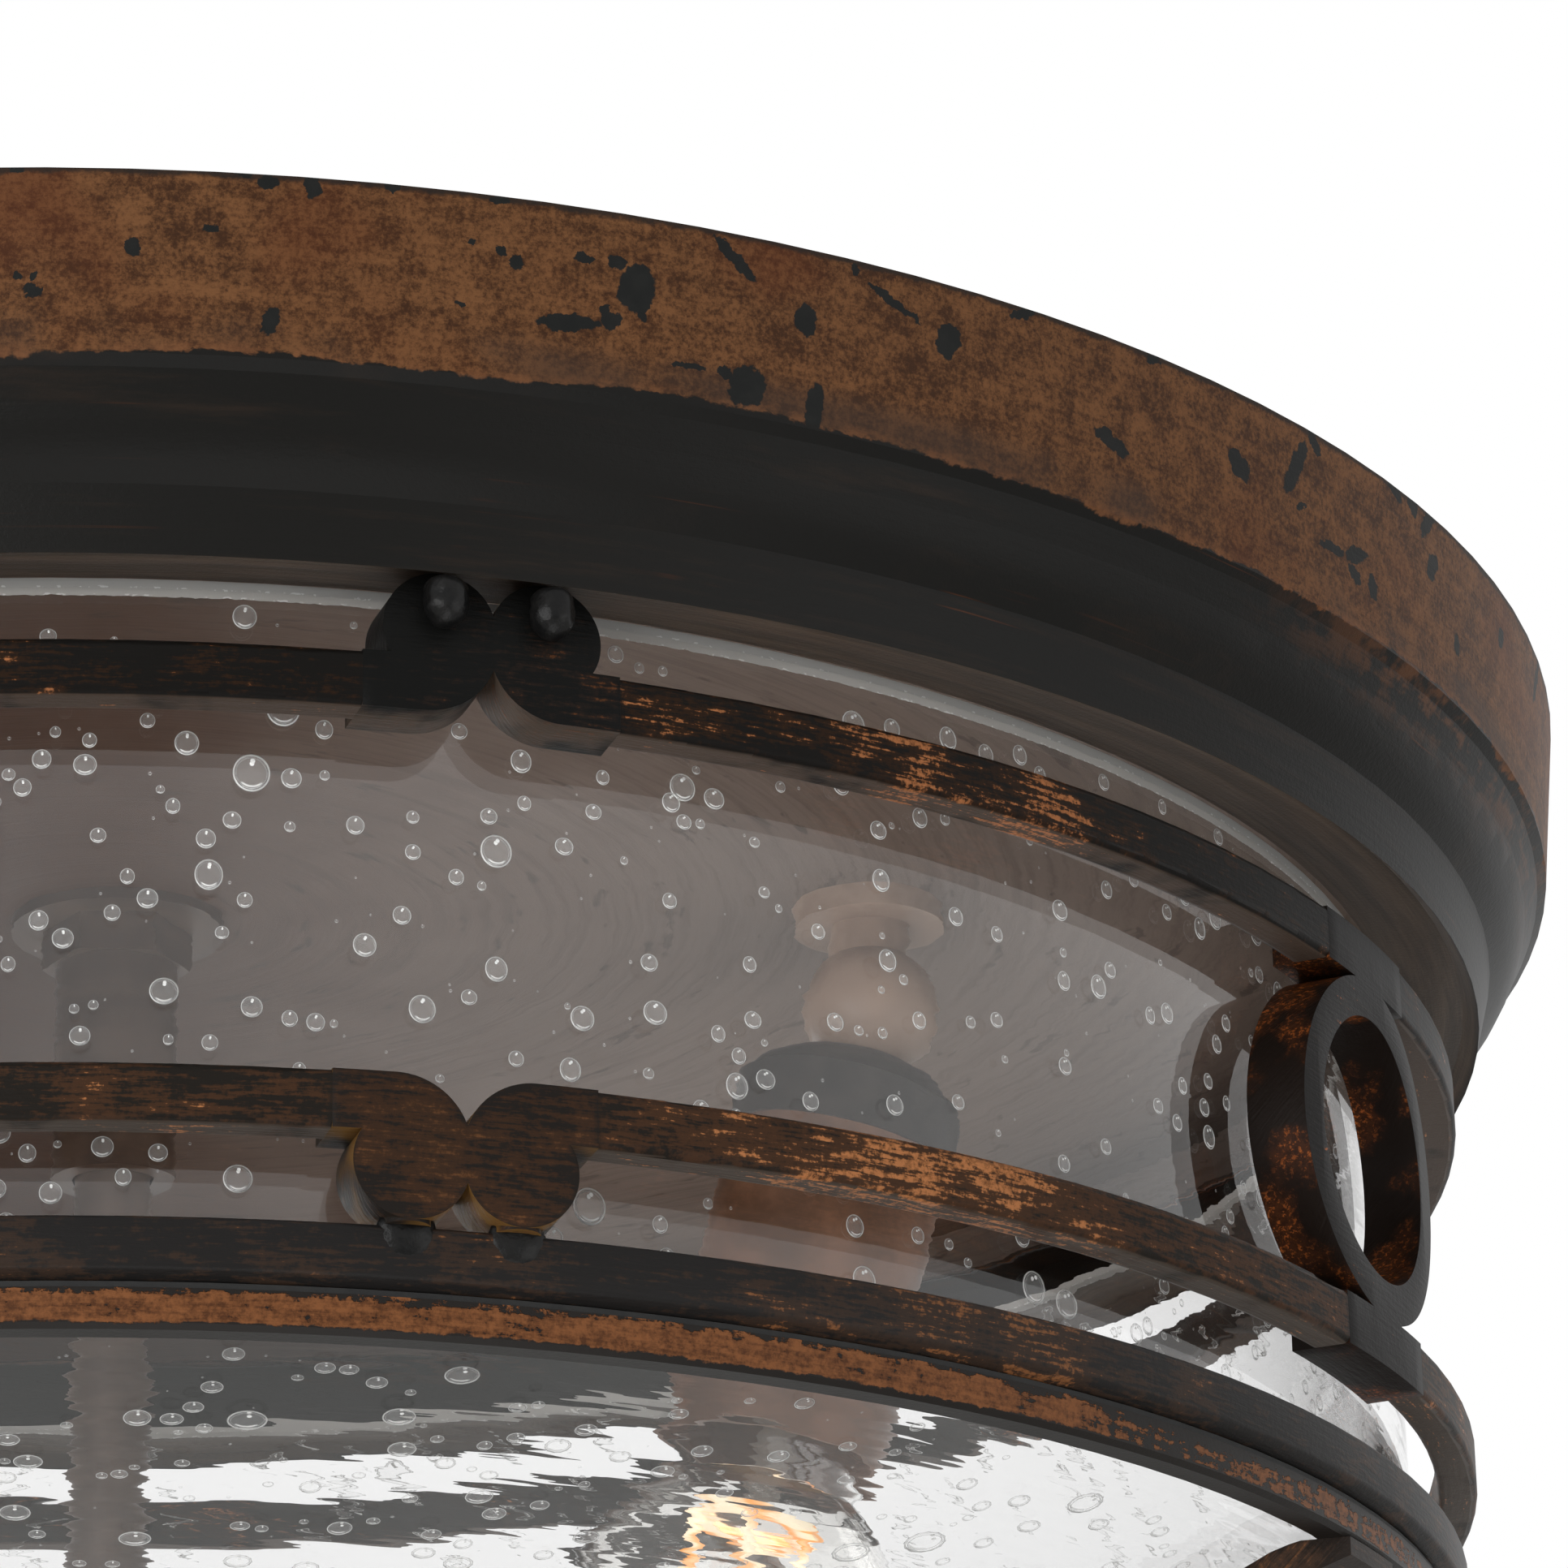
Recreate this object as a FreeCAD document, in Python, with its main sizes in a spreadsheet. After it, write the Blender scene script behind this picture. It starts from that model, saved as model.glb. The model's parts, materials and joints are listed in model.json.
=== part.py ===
import FreeCAD, Part
import math
import os
import re
import Sketcher

# Ceiling light with a seeded glass drum in an open cage.
# Millimetres. The ceiling plane is z = 0, the light hangs below it, and its axis is Z.
# Azimuths are degrees from the front, -Y, towards +X.

SIZES = {
    # canopy, spun from sheet and open at the top
    "rim_radius": 190.5,
    "rim_taper": 1.9,
    "band_height": 20.9,
    "sheet_wall": 1.2,
    "shoulder_inset": 1.2,
    "shoulder_drop": 1.1,
    "ridge_inset": 3.0,
    "ridge_drop": 4.6,
    "step_inset": 7.2,
    "step_drop": 6.3,
    "step_ledge": 0.8,
    "lip_inset": 9.8,
    "lip_drop": 8.2,
    "bead_width": 2.0,
    "cove_radius": 14.0,
    "flange_inset": 21.0,
    "bead_rise": 2.0,
    # reflector pan inside the canopy
    "pan_rise": 5.9,
    "pan_sheet": 1.0,
    "pan_rim_inset": 2.2,
    "pan_rim_run": 4.4,
    "pan_rim_drop": 4.7,
    # insulation pad on the pan
    "pad_hole_radius": 62.0,
    "pad_inset": 4.0,
    "pad_height": 9.5,
    "pad_corner": 2.5,
    "seat_gap": 0.3,
    # crossbar, rod and the fasteners on it
    "bar_end": 4.55,
    "bar_width": 22.0,
    "bar_height": 3.0,
    "bar_corner": 4.0,
    "slot_spacing": 88.9,
    "slot_length": 14.0,
    "slot_radius": 2.3,
    "collar_radius": 8.5,
    "collar_height": 3.0,
    "rod_radius": 5.0,
    "rod_top": 0.5,
    "rod_reach": 11.5,
    "rod_clearance": 0.3,
    "thread_clearance": 0.06,
    "nut_flats": 17.0,
    "lock_nut_height": 4.0,
    "pan_nut_height": 5.0,
    "washer_radius": 14.0,
    "washer_height": 1.5,
    "stem_radius": 8.0,
    "stem_length": 29.5,
    "earth_place": 28.0,
    "earth_head_radius": 4.2,
    "earth_head_height": 2.4,
    "earth_shank_radius": 1.9,
    # glass drum
    "drum_clearance": 1.1,
    "drum_wall": 3.5,
    "drum_rise": 0.4,
    # cage of rails, knots and medallions
    "cage_standoff": 8.5,
    "rail_width": 5.0,
    "rail_height": 6.5,
    "rail_round": 0.9,
    "upper_rail_drop": 8.1,
    "rail_pitch": 47.9,
    "casting_width": 7.2,
    "knot_count": 4,
    "upper_knot_azimuth": 13.2,
    "lower_knot_azimuth": 12.2,
    "knot_half_length": 14.5,
    "lobe_radius": 6.3,
    "lobe_offset": 6.0,
    "lobe_rise": 3.3,
    "cusp_rise": 5.4,
    "cusp_run": 7.7,
    "leg_radius": 2.6,
    "leg_inset": 2.7,
    "leg_overlap": 5.0,
    "medallion_azimuth": 59.2,
    "medallion_half_length": 12.4,
    "medallion_bite": 0.5,
    "medallion_wall": 4.9,
    # weld pins between the canopy lip and the upper knots
    "pin_radius": 2.45,
    "pin_height": 3.2,
    "pin_standoff": 0.05,
    "pin_gap": 0.1,
    # bottom ring, gasket and the door
    "ring_inset": 1.8,
    "ring_bar": 5.0,
    "ring_drop": 9.8,
    "ring_height": 6.6,
    "ring_chamfer": 1.0,
    "ring_chamfer_run": 2.3,
    "ledge_height": 2.1,
    "ledge_reach": 0.5,
    "gasket_height": 0.7,
    "gasket_width": 4.3,
    "gasket_inset": 0.3,
    "door_inset": 1.7,
    "door_wall": 1.9,
    "door_height": 4.4,
    "door_bevel": 0.6,
    "door_lip": 3.6,
    "lip_wall": 1.0,
    # glass dome in the door
    "dome_sphere": 500.0,
    "dome_wall": 3.0,
    "dome_edge_gap": 0.4,
    "dome_hole": 7.0,
    # cross strap under the dome
    "strap_gap": 0.4,
    "strap_height": 4.2,
    "strap_half_width": 6.0,
    "leaf_half_width": 8.8,
    "leaf_length": 23.5,
    "leaf_shoulder": 9.5,
    "leaf_tip_half_width": 7.0,
    "strap_inner_rise": 3.5,
    "strap_seat_run": 2.1,
    "strap_edge_height": 2.2,
    "hub_radius": 16.0,
    "boss_radius": 12.0,
    "boss_drop": 7.3,
    # finial
    "finial_gap": 0.3,
    "finial_cup_radius": 13.5,
    "finial_cup_height": 3.6,
    "finial_neck_radius": 5.9,
    "finial_ball_radius": 8.6,
    "finial_ball_drop": 15.4,
    "finial_tip_radius": 2.4,
    "finial_tip_drop": 27.0,
    "finial_bore_spare": 0.7,
    # lamp holders, three alike, leaning in towards the axis
    "lamp_count": 3,
    "lamp_azimuth": 84.0,
    "lamp_place": 99.7,
    "lamp_drop": 15.6,
    "lamp_tilt": 13.8,
    "mount_base_radius": 10.0,
    "mount_base_height": 3.0,
    "mount_neck_radius": 5.2,
    "ball_radius": 9.0,
    "cap_start": 8.0,
    "cap_top_radius": 8.5,
    "cap_radius": 15.0,
    "cap_shoulder": 4.5,
    "cap_height": 12.0,
    "cap_wall": 1.0,
    "sleeve_radius": 14.5,
    "sleeve_wall": 0.7,
    "sleeve_end": 61.0,
    "core_height": 12.0,
    "contact_radius": 4.0,
    "contact_height": 1.2,
    "shell_wall": 0.35,
    "shell_length": 26.0,
    "fit_gap": 0.15,
    # bulbs
    "bulb_cap_radius": 13.0,
    "bulb_cap_height": 23.0,
    "bulb_thread_depth": 0.6,
    "bulb_turns": 6,
    "bulb_foot_radius": 5.0,
    "bulb_foot_height": 3.0,
    "bulb_neck_radius": 11.8,
    "bulb_neck_length": 12.6,
    "globe_radius": 21.0,
    "glass_wall": 0.8,
    "stalk_radius": 2.4,
    "filament_radius": 0.8,
    "filament_ring": 7.25,
    "filament_length": 24.0,
    "filament_plate": 1.0,
    "filament_plate_reach": 1.4,
    "filament_count": 4,
    # cut past a face
    "overrun": 6.0,
}

# Radii and depths that follow from the sizes above, from the canopy down
FOLLOWING = {
    "bar_length": "(slot_spacing + slot_length + 2 * bar_end)",
    "ridge_depth": "(band_height + ridge_drop)",
    "step_depth": "(ridge_depth + step_drop)",
    "lip_depth": "(step_depth + lip_drop)",
    "flange_depth": "(lip_depth - bead_rise)",
    "flange_radius": "(rim_radius - rim_taper - flange_inset)",
    "pan_depth": "(band_height - pan_rise)",
    "pan_rim_radius": "(rim_radius - rim_taper - pan_rim_inset)",
    "pan_flat_radius": "(pan_rim_radius - pan_rim_run)",
    "pad_radius": "(pan_flat_radius - pad_inset)",
    "lamp_depth": "(pan_depth + lamp_drop)",
    "core_start": "(cap_start + cap_shoulder + cap_wall)",
    "shell_start": "(core_start + core_height)",
    "bulb_start": "(shell_start + contact_height + seat_gap)",
    "bulb_cap_end": "(bulb_start + bulb_foot_height + bulb_cap_height)",
    "globe_depth": "(bulb_cap_end + bulb_neck_length + sqrt(globe_radius ^ 2 - bulb_neck_radius ^ 2))",
    "drum_radius": "(flange_radius - drum_clearance)",
    "drum_top": "(flange_depth - drum_rise)",
    "cage_radius": "(drum_radius + cage_standoff)",
    "upper_rail_depth": "(lip_depth + upper_rail_drop)",
    "lower_rail_depth": "(upper_rail_depth + rail_pitch)",
    "medallion_radius": "((rail_pitch - rail_height) / 2 + medallion_bite)",
    "medallion_hole": "(medallion_radius - medallion_wall)",
    "ring_depth": "(lower_rail_depth + rail_height + ring_drop)",
    "ring_radius": "(cage_radius - ring_inset)",
    "door_top": "(ring_depth + ring_height + gasket_height)",
    "door_bottom": "(door_top + door_height)",
    "door_radius": "(ring_radius - door_inset)",
    "dome_edge": "(door_radius - door_lip)",
    "dome_centre": "(lip_wall + seat_gap - door_bottom + sqrt(dome_sphere ^ 2 - dome_edge ^ 2))",
    "leaf_start": "(door_radius - leaf_length)",
    "leaf_widest": "(door_radius - leaf_shoulder)",
    "boss_depth": "(dome_sphere - dome_centre + boss_drop)",
    "finial_ball_depth": "(boss_depth + finial_ball_drop)",
    "finial_tip_depth": "(boss_depth + finial_tip_drop)",
    "rod_end": "(boss_depth + rod_reach)",
}

# Share of the wall that each inner point of the canopy lies inwards and upwards of its outer point
SPUN_SHARES = ((1.0, 0.0), (1.0, 0.4), (0.75, 0.75), (0.8, 0.6), (0.8, 0.6), (0.9, 0.5), (1.0, 0.5))

document = FreeCAD.newDocument("CeilingLight")
sheet = document.addObject("Spreadsheet::Sheet", "Sizes")
for row, (word, number) in enumerate(SIZES.items(), start=1):
    sheet.set(f"A{row}", word)
    sheet.set(f"B{row}", str(number))
    sheet.setAlias(f"B{row}", word)
document.recompute()


def written_out(text):
    """An expression in which each following size is replaced by the sizes that it follows."""
    while any(word in FOLLOWING for word in re.findall(r"[a-z_]+", text)):
        text = re.sub(r"[a-z_]+", lambda found: FOLLOWING.get(found[0], found[0]), text)
    return text


def bound(text):
    """An expression for another object, with each size read from the sheet."""
    return re.sub(r"[a-z_]+", lambda found: "Sizes." + found[0] if found[0] in SIZES else found[0], written_out(text))


def value(text):
    """The number that an expression of sizes gives."""
    return float(sheet.evalExpression(written_out(text)))


def plane(body, role):
    return next(feature for feature in body.Origin.OriginFeatures if feature.Role == role)


def new_body(label):
    body = document.addObject("PartDesign::Body", label)
    body.Label = label
    return body


def new_sketch(body, role, name, height=None):
    """A sketch on one of the body's own origin planes, raised by an expression."""
    sketch = body.newObject("Sketcher::SketchObject", f"{body.Name}_{name}")
    sketch.AttachmentSupport = (plane(body, role), [""])
    sketch.MapMode = "FlatFace"
    if height:
        sketch.setExpression("AttachmentOffset.Base.z", bound(height))
    return sketch


def constrain(sketch, kind, geometry, point, text):
    """Ties one coordinate of a point to an expression of sizes."""
    if text == "0":
        sketch.addConstraint(Sketcher.Constraint("PointOnObject", geometry, point, -2 if kind == "DistanceX" else -1))
        return
    number = sketch.addConstraint(Sketcher.Constraint(kind, -1, 1, geometry, point, value(text)))
    sketch.setExpression(f"Constraints[{number}]", bound(text))


def arc_between(start, end, radius, side, large):
    """The centre and the two angles of an arc from start to end that bulges left (1) or right (-1) of the way."""
    chord = end.sub(start)
    reach = math.sqrt(max(radius**2 - (chord.Length / 2) ** 2, 0))
    left = FreeCAD.Vector(-chord.y, chord.x, 0).normalize()
    centre = start.add(chord * 0.5).add(left * (reach * side * (1 if large else -1)))
    first, last = (start, end) if side < 0 else (end, start)
    opening = math.atan2(first.y - centre.y, first.x - centre.x)
    closing = math.atan2(last.y - centre.y, last.x - centre.x)
    if closing <= opening:
        closing += 2 * math.pi
    return centre, opening, closing


def outline(sketch, corners):
    """A closed outline through corners of expressions; a third entry makes an arc to the next corner.

    The third entry is (radius expression, side, whether it is the larger arc).
    """
    first = sketch.GeometryCount
    points = [FreeCAD.Vector(value(corner[0]), value(corner[1]), 0) for corner in corners]
    ends = []
    for index, corner in enumerate(corners):
        start = points[index]
        end = points[(index + 1) % len(points)]
        if len(corner) == 2:
            sketch.addGeometry(Part.LineSegment(start, end))
            ends.append((1, 2))
            continue
        radius, side, large = corner[2]
        size = value(radius)
        centre, opening, closing = arc_between(start, end, size, side, large)
        circle = Part.Circle(centre, FreeCAD.Vector(0, 0, 1), size)
        sketch.addGeometry(Part.ArcOfCircle(circle, opening, closing))
        ends.append((1, 2) if side < 0 else (2, 1))
        if (end - start).Length > 1.999 * size:
            upright = abs(end.x - start.x) < abs(end.y - start.y)
            constrain(sketch, "DistanceX" if upright else "DistanceY", first + index, 3, corner[0 if upright else 1])
            continue
        number = sketch.addConstraint(Sketcher.Constraint("Radius", first + index, size))
        sketch.setExpression(f"Constraints[{number}]", bound(radius))
    for index, corner in enumerate(corners):
        after = (index + 1) % len(corners)
        sketch.addConstraint(
            Sketcher.Constraint("Coincident", first + index, ends[index][1], first + after, ends[after][0])
        )
        constrain(sketch, "DistanceX", first + index, ends[index][0], corner[0])
        constrain(sketch, "DistanceY", first + index, ends[index][0], corner[1])


def disc(sketch, across, along, radius):
    """A circle whose centre and radius are expressions."""
    centre = FreeCAD.Vector(value(across), value(along), 0)
    geometry = sketch.addGeometry(Part.Circle(centre, FreeCAD.Vector(0, 0, 1), value(radius)))
    constrain(sketch, "DistanceX", geometry, 3, across)
    constrain(sketch, "DistanceY", geometry, 3, along)
    number = sketch.addConstraint(Sketcher.Constraint("Radius", geometry, value(radius)))
    sketch.setExpression(f"Constraints[{number}]", bound(radius))


def revolve(body, sketch, kind="PartDesign::Revolution"):
    turned = body.newObject(kind, f"{sketch.Name}_turned")
    turned.Profile = sketch
    turned.ReferenceAxis = (sketch, ["V_Axis"])
    turned.Angle = 360.0
    sketch.Visibility = False
    return turned


def turned_body(label, corners):
    """A piece turned about Z from its half outline in radius and height."""
    body = new_body(label)
    sketch = new_sketch(body, "XZ_Plane", "outline")
    outline(sketch, corners)
    revolve(body, sketch)
    return body


def pad(body, sketch, length, both=False, reverse=False):
    raised = body.newObject("PartDesign::Pad", f"{sketch.Name}_pad")
    raised.Profile = sketch
    raised.setExpression("Length", bound(length))
    raised.Midplane = both
    raised.Reversed = reverse
    return raised


def pocket(body, sketch, length, both=True):
    cut = body.newObject("PartDesign::Pocket", f"{sketch.Name}_cut")
    cut.Profile = sketch
    cut.setExpression("Length", bound(length))
    cut.Midplane = both
    return cut


def polar(body, feature, count):
    pattern = body.newObject("PartDesign::PolarPattern", f"{feature.Name}_round")
    pattern.Originals = [feature]
    pattern.Axis = (plane(body, "Z_Axis"), [""])
    pattern.Angle = 360.0
    pattern.setExpression("Occurrences", bound(count))
    body.Tip = pattern
    return pattern


def rectangle(low_x, low_y, high_x, high_y):
    return [(low_x, low_y), (high_x, low_y), (high_x, high_y), (low_x, high_y)]


def place(piece, azimuth, where=("0", "0", "0"), tilt="0"):
    """Turns a piece about Z to its azimuth, leans it, and moves it to a place."""
    centre = f"create(<<vector>>; {where[0]}; {where[1]}; {where[2]})"
    turn = f"create(<<rotation>>; create(<<vector>>; 0; 0; 1); {azimuth})"
    lean = f"create(<<rotation>>; create(<<vector>>; 0; 1; 0); {tilt})"
    piece.setExpression("Placement", bound(f"create(<<placement>>; {centre}; {turn} * {lean})"))


# Canopy and what closes it


def canopy():
    band = "rim_radius - rim_taper"
    outer = [
        ("rim_radius", "0"),
        (band, "-band_height"),
        (f"{band} - shoulder_inset", "-band_height - shoulder_drop"),
        (f"{band} - ridge_inset", "-ridge_depth"),
        (f"{band} - step_inset", "-step_depth"),
        (f"{band} - step_inset - step_ledge", "-step_depth - step_ledge"),
        (f"{band} - lip_inset", "-lip_depth"),
    ]
    inner = [
        (f"{across} - {inwards} * sheet_wall", f"{along} + {upwards} * sheet_wall" if upwards else along)
        for (across, along), (inwards, upwards) in zip(outer, SPUN_SHARES)
    ]
    outer[3] += (("cove_radius", 1, False),)
    lip = [
        (f"{band} - lip_inset - bead_width", "-flange_depth"),
        ("flange_radius", "-flange_depth"),
        ("flange_radius", "-flange_depth + sheet_wall"),
        (f"{band} - lip_inset - bead_width - sheet_wall / 2", "-flange_depth + sheet_wall"),
    ]
    return turned_body("canopy", outer + lip + inner[5::-1])


def reflector_pan():
    bore = "rod_radius + rod_clearance"
    return turned_body(
        "reflector_pan",
        [
            (bore, "-pan_depth - pan_sheet"),
            ("pan_flat_radius - pan_sheet / 2", "-pan_depth - pan_sheet"),
            ("pan_rim_radius - pan_sheet", "-pan_depth - pan_sheet - pan_rim_drop"),
            ("pan_rim_radius", "-pan_depth - pan_sheet - pan_rim_drop"),
            ("pan_flat_radius", "-pan_depth"),
            (bore, "-pan_depth"),
        ],
    )


def insulation_pad():
    top = "-pan_depth + seat_gap + pad_height"
    bottom = "-pan_depth + seat_gap"
    rounded = ("pad_corner", -1, False)
    return turned_body(
        "insulation_pad",
        [
            ("pad_hole_radius", bottom),
            ("pad_radius", bottom),
            ("pad_radius", f"{top} - pad_corner", rounded),
            ("pad_radius - pad_corner", top),
            ("pad_hole_radius + pad_corner", top, rounded),
            ("pad_hole_radius", f"{top} - pad_corner"),
        ],
    )


# Crossbar, rod and fasteners


def crossbar():
    body = new_body("crossbar")
    plan = new_sketch(body, "XY_Plane", "plan")
    outline(plan, rectangle("-bar_length / 2", "-bar_width / 2", "bar_length / 2", "bar_width / 2"))
    flat = pad(body, plan, "bar_height", reverse=True)
    document.recompute()
    corners = [
        f"Edge{number}"
        for number, edge in enumerate(flat.Shape.Edges, start=1)
        if abs(edge.Vertexes[0].Z - edge.Vertexes[-1].Z) > value("bar_height") / 2
    ]
    rounded = body.newObject("PartDesign::Fillet", "crossbar_corners")
    rounded.Base = (flat, corners)
    rounded.setExpression("Radius", bound("bar_corner"))
    collar = new_sketch(body, "XY_Plane", "collar", "-bar_height")
    disc(collar, "0", "0", "collar_radius")
    pad(body, collar, "collar_height", reverse=True)
    holes = new_sketch(body, "XY_Plane", "holes")
    disc(holes, "0", "0", "rod_radius + rod_clearance")
    disc(holes, "earth_place", "0", "earth_shank_radius + thread_clearance")
    for side in ("-", ""):
        near = f"{side}slot_spacing / 2 - slot_length / 2 + slot_radius"
        far = f"{side}slot_spacing / 2 + slot_length / 2 - slot_radius"
        turn = ("slot_radius", -1, False)
        outline(holes, [(near, "-slot_radius"), (far, "-slot_radius", turn), (far, "slot_radius"),
                        (near, "slot_radius", turn)])
    pocket(body, holes, "4 * (bar_height + collar_height)")
    return body


def centre_rod():
    rod = document.addObject("Part::Cylinder", "centre_rod")
    rod.Label = "centre_rod"
    rod.setExpression("Radius", bound("rod_radius"))
    rod.setExpression("Height", bound("rod_end - rod_top"))
    place(rod, "0", ("0", "0", "-rod_end"))
    return rod


def hexagon_nut(label, top, height):
    """A nut on the rod whose top face is at a height given by an expression."""
    blank = document.addObject("Part::Prism", f"{label}_blank")
    blank.Polygon = 6
    blank.setExpression("Circumradius", bound("nut_flats / sqrt(3)"))
    blank.setExpression("Height", bound(height))
    bore = document.addObject("Part::Cylinder", f"{label}_bore")
    bore.setExpression("Radius", bound("rod_radius + thread_clearance"))
    bore.setExpression("Height", bound(height))
    nut = document.addObject("Part::Cut", label)
    nut.Label = label
    nut.Base = blank
    nut.Tool = bore
    place(nut, "0", ("0", "0", f"{top} - {height}"))
    return nut


def sleeve_on_rod(label, radius, top, height):
    """A washer or tube round the rod."""
    bore = "rod_radius + rod_clearance"
    return turned_body(label, rectangle(bore, f"{top} - {height}", radius, top))


def ground_screw():
    return turned_body(
        "ground_screw",
        [
            ("0", "-bar_height - earth_head_height"),
            ("earth_head_radius", "-bar_height - earth_head_height"),
            ("earth_head_radius", "-bar_height"),
            ("earth_shank_radius", "-bar_height"),
            ("earth_shank_radius", "-rod_top"),
            ("0", "-rod_top"),
        ],
    )


# Glass drum and cage

LOWER_RAIL_BOTTOM = "-lower_rail_depth - rail_height"
LEDGE_TOP = "-ring_depth - ring_height + ledge_height"
CASTING_INNER = "cage_radius - casting_width"


def glass_drum():
    low = f"{LEDGE_TOP} + seat_gap"
    return turned_body("glass_drum", rectangle("drum_radius - drum_wall", low, "drum_radius", "-drum_top"))


def rail_bars(label, depth, gaps):
    """A rounded square bar bent to a ring, cut away where the castings take its place."""
    inner = "cage_radius - rail_width"
    top = f"-{depth}"
    bottom = f"-{depth} - rail_height"
    rounded = ("rail_round", -1, False)
    ring = turned_body(
        f"{label}_ring",
        [
            (f"{inner} + rail_round", bottom),
            ("cage_radius - rail_round", bottom, rounded),
            ("cage_radius", f"{bottom} + rail_round"),
            ("cage_radius", f"{top} - rail_round", rounded),
            ("cage_radius - rail_round", top),
            (f"{inner} + rail_round", top, rounded),
            (inner, f"{top} - rail_round"),
            (inner, f"{bottom} + rail_round", rounded),
        ],
    )
    cutters = []
    for azimuth, half_length in gaps:
        for turn in range(SIZES["knot_count"]):
            block = document.addObject("Part::Box", f"{label}_gap")
            block.setExpression("Length", bound(f"2 * {half_length}"))
            block.setExpression("Width", bound("rail_width + 4 * overrun"))
            block.setExpression("Height", bound("rail_height + 2 * overrun"))
            angle = f"({azimuth} + {turn} * 360 / knot_count)"
            near = "(cage_radius + overrun)"
            across = f"{near} * sin({angle}) - {half_length} * cos({angle})"
            along = f"-{near} * cos({angle}) - {half_length} * sin({angle})"
            place(block, angle, (across, along, f"{bottom} - overrun"))
            cutters.append(block)
    gap = document.addObject("Part::Compound", f"{label}_gaps")
    gap.Links = cutters
    bars = document.addObject("Part::Cut", label)
    bars.Label = label
    bars.Base = ring
    bars.Tool = gap
    return bars


def casting(label, corners, azimuth, hole=None, legs=False):
    """A flat casting bent round the cage: its outline raised from the axis, then turned inside and out."""
    body = new_body(label)
    face = new_sketch(body, "XZ_Plane", "face")
    outline(face, corners)
    if hole:
        disc(face, "0", hole[0], hole[1])
    pad(body, face, "cage_radius + overrun")
    if legs:
        feet = new_sketch(body, "XY_Plane", "feet", "-ring_depth")
        for side in ("-", ""):
            disc(feet, f"{side}lobe_offset", "-(cage_radius - leg_inset)", "leg_radius")
        pad(body, feet, "leg_overlap")
    shell = new_sketch(body, "XZ_Plane", "shell")
    low = "-ring_depth - overrun"
    outline(shell, rectangle("0", low, CASTING_INNER, "overrun"))
    outline(shell, rectangle("cage_radius", low, "cage_radius + 4 * overrun", "overrun"))
    revolve(body, shell, "PartDesign::Groove")
    place(body, azimuth)
    return body


def knot_outline(flip):
    """A rail joint with a cusp on the open side and two scroll lobes on the other."""

    def height(above_rail):
        """Height of a point from how far it lies above the inner edge of the rail."""
        if flip:
            return f"-lower_rail_depth - ({above_rail})"
        return f"-upper_rail_depth - rail_height + {above_rail}"

    side = 1 if flip else -1
    lobe = "rail_height + lobe_rise"
    foot = "lobe_offset + sqrt(lobe_radius ^ 2 - lobe_rise ^ 2)"
    notch = f"{lobe} + sqrt(lobe_radius ^ 2 - lobe_offset ^ 2)"
    cusp = ("(cusp_run ^ 2 + cusp_rise ^ 2) / (2 * cusp_rise)", side, False)
    scroll = ("lobe_radius", side, True)
    return [
        ("knot_half_length", height("0")),
        ("knot_half_length", height("rail_height")),
        (foot, height("rail_height"), scroll),
        ("0", height(notch), scroll),
        (f"-({foot})", height("rail_height")),
        ("-knot_half_length", height("rail_height")),
        ("-knot_half_length", height("0")),
        ("-cusp_run", height("0"), cusp),
        ("0", height("cusp_rise"), cusp),
        ("cusp_run", height("0")),
    ]


def medallion_outline():
    """A ring between two lengths of rail."""
    upper = "-upper_rail_depth - rail_height"
    lower = "-lower_rail_depth"
    neck = f"sqrt(medallion_radius ^ 2 - (({upper} - {lower}) / 2) ^ 2)"
    bow = ("medallion_radius", -1, False)
    half = "medallion_half_length"
    return [
        (half, "-upper_rail_depth"),
        (f"-{half}", "-upper_rail_depth"),
        (f"-{half}", upper),
        (f"-{neck}", upper, bow),
        (f"-{neck}", lower),
        (f"-{half}", lower),
        (f"-{half}", LOWER_RAIL_BOTTOM),
        (half, LOWER_RAIL_BOTTOM),
        (half, lower),
        (neck, lower, bow),
        (neck, upper),
        (half, upper),
    ]


def knot_pins():
    """Short pins with rounded ends, one pair at each upper knot, under the canopy lip."""
    pins = []
    for turn in range(SIZES["knot_count"]):
        for side in (-1, 1):
            shank = document.addObject("Part::Cylinder", "pin_shank")
            shank.setExpression("Radius", bound("pin_radius"))
            shank.setExpression("Height", bound("pin_height"))
            tip = document.addObject("Part::Sphere", "pin_tip")
            tip.setExpression("Radius", bound("pin_radius"))
            pin = document.addObject("Part::Fuse", "pin")
            pin.Base = shank
            pin.Tool = tip
            place_radius = "(cage_radius + pin_radius + pin_standoff)"
            spread = f"{side} * asin(lobe_offset / cage_radius) / 1 deg"
            angle = f"(upper_knot_azimuth + {turn} * 360 / knot_count + {spread})"
            where = (
                f"{place_radius} * sin({angle})",
                f"-{place_radius} * cos({angle})",
                "-lip_depth - pin_gap - pin_height",
            )
            place(pin, "0", where)
            pins.append(pin)
    group = document.addObject("Part::Compound", "knot_pins")
    group.Label = "knot_pins"
    group.Links = pins
    return group


# Bottom ring and door

RING_BOTTOM = "-ring_depth - ring_height"


def bottom_ring():
    inner = "drum_radius - drum_wall - ledge_reach"
    bar = "ring_radius - ring_bar"
    return turned_body(
        "bottom_ring",
        [
            (bar, "-ring_depth"),
            (bar, LEDGE_TOP),
            (inner, LEDGE_TOP),
            (inner, RING_BOTTOM),
            ("ring_radius - ring_chamfer_run", RING_BOTTOM),
            ("ring_radius", f"{RING_BOTTOM} + ring_chamfer"),
            ("ring_radius", "-ring_depth"),
        ],
    )


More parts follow.
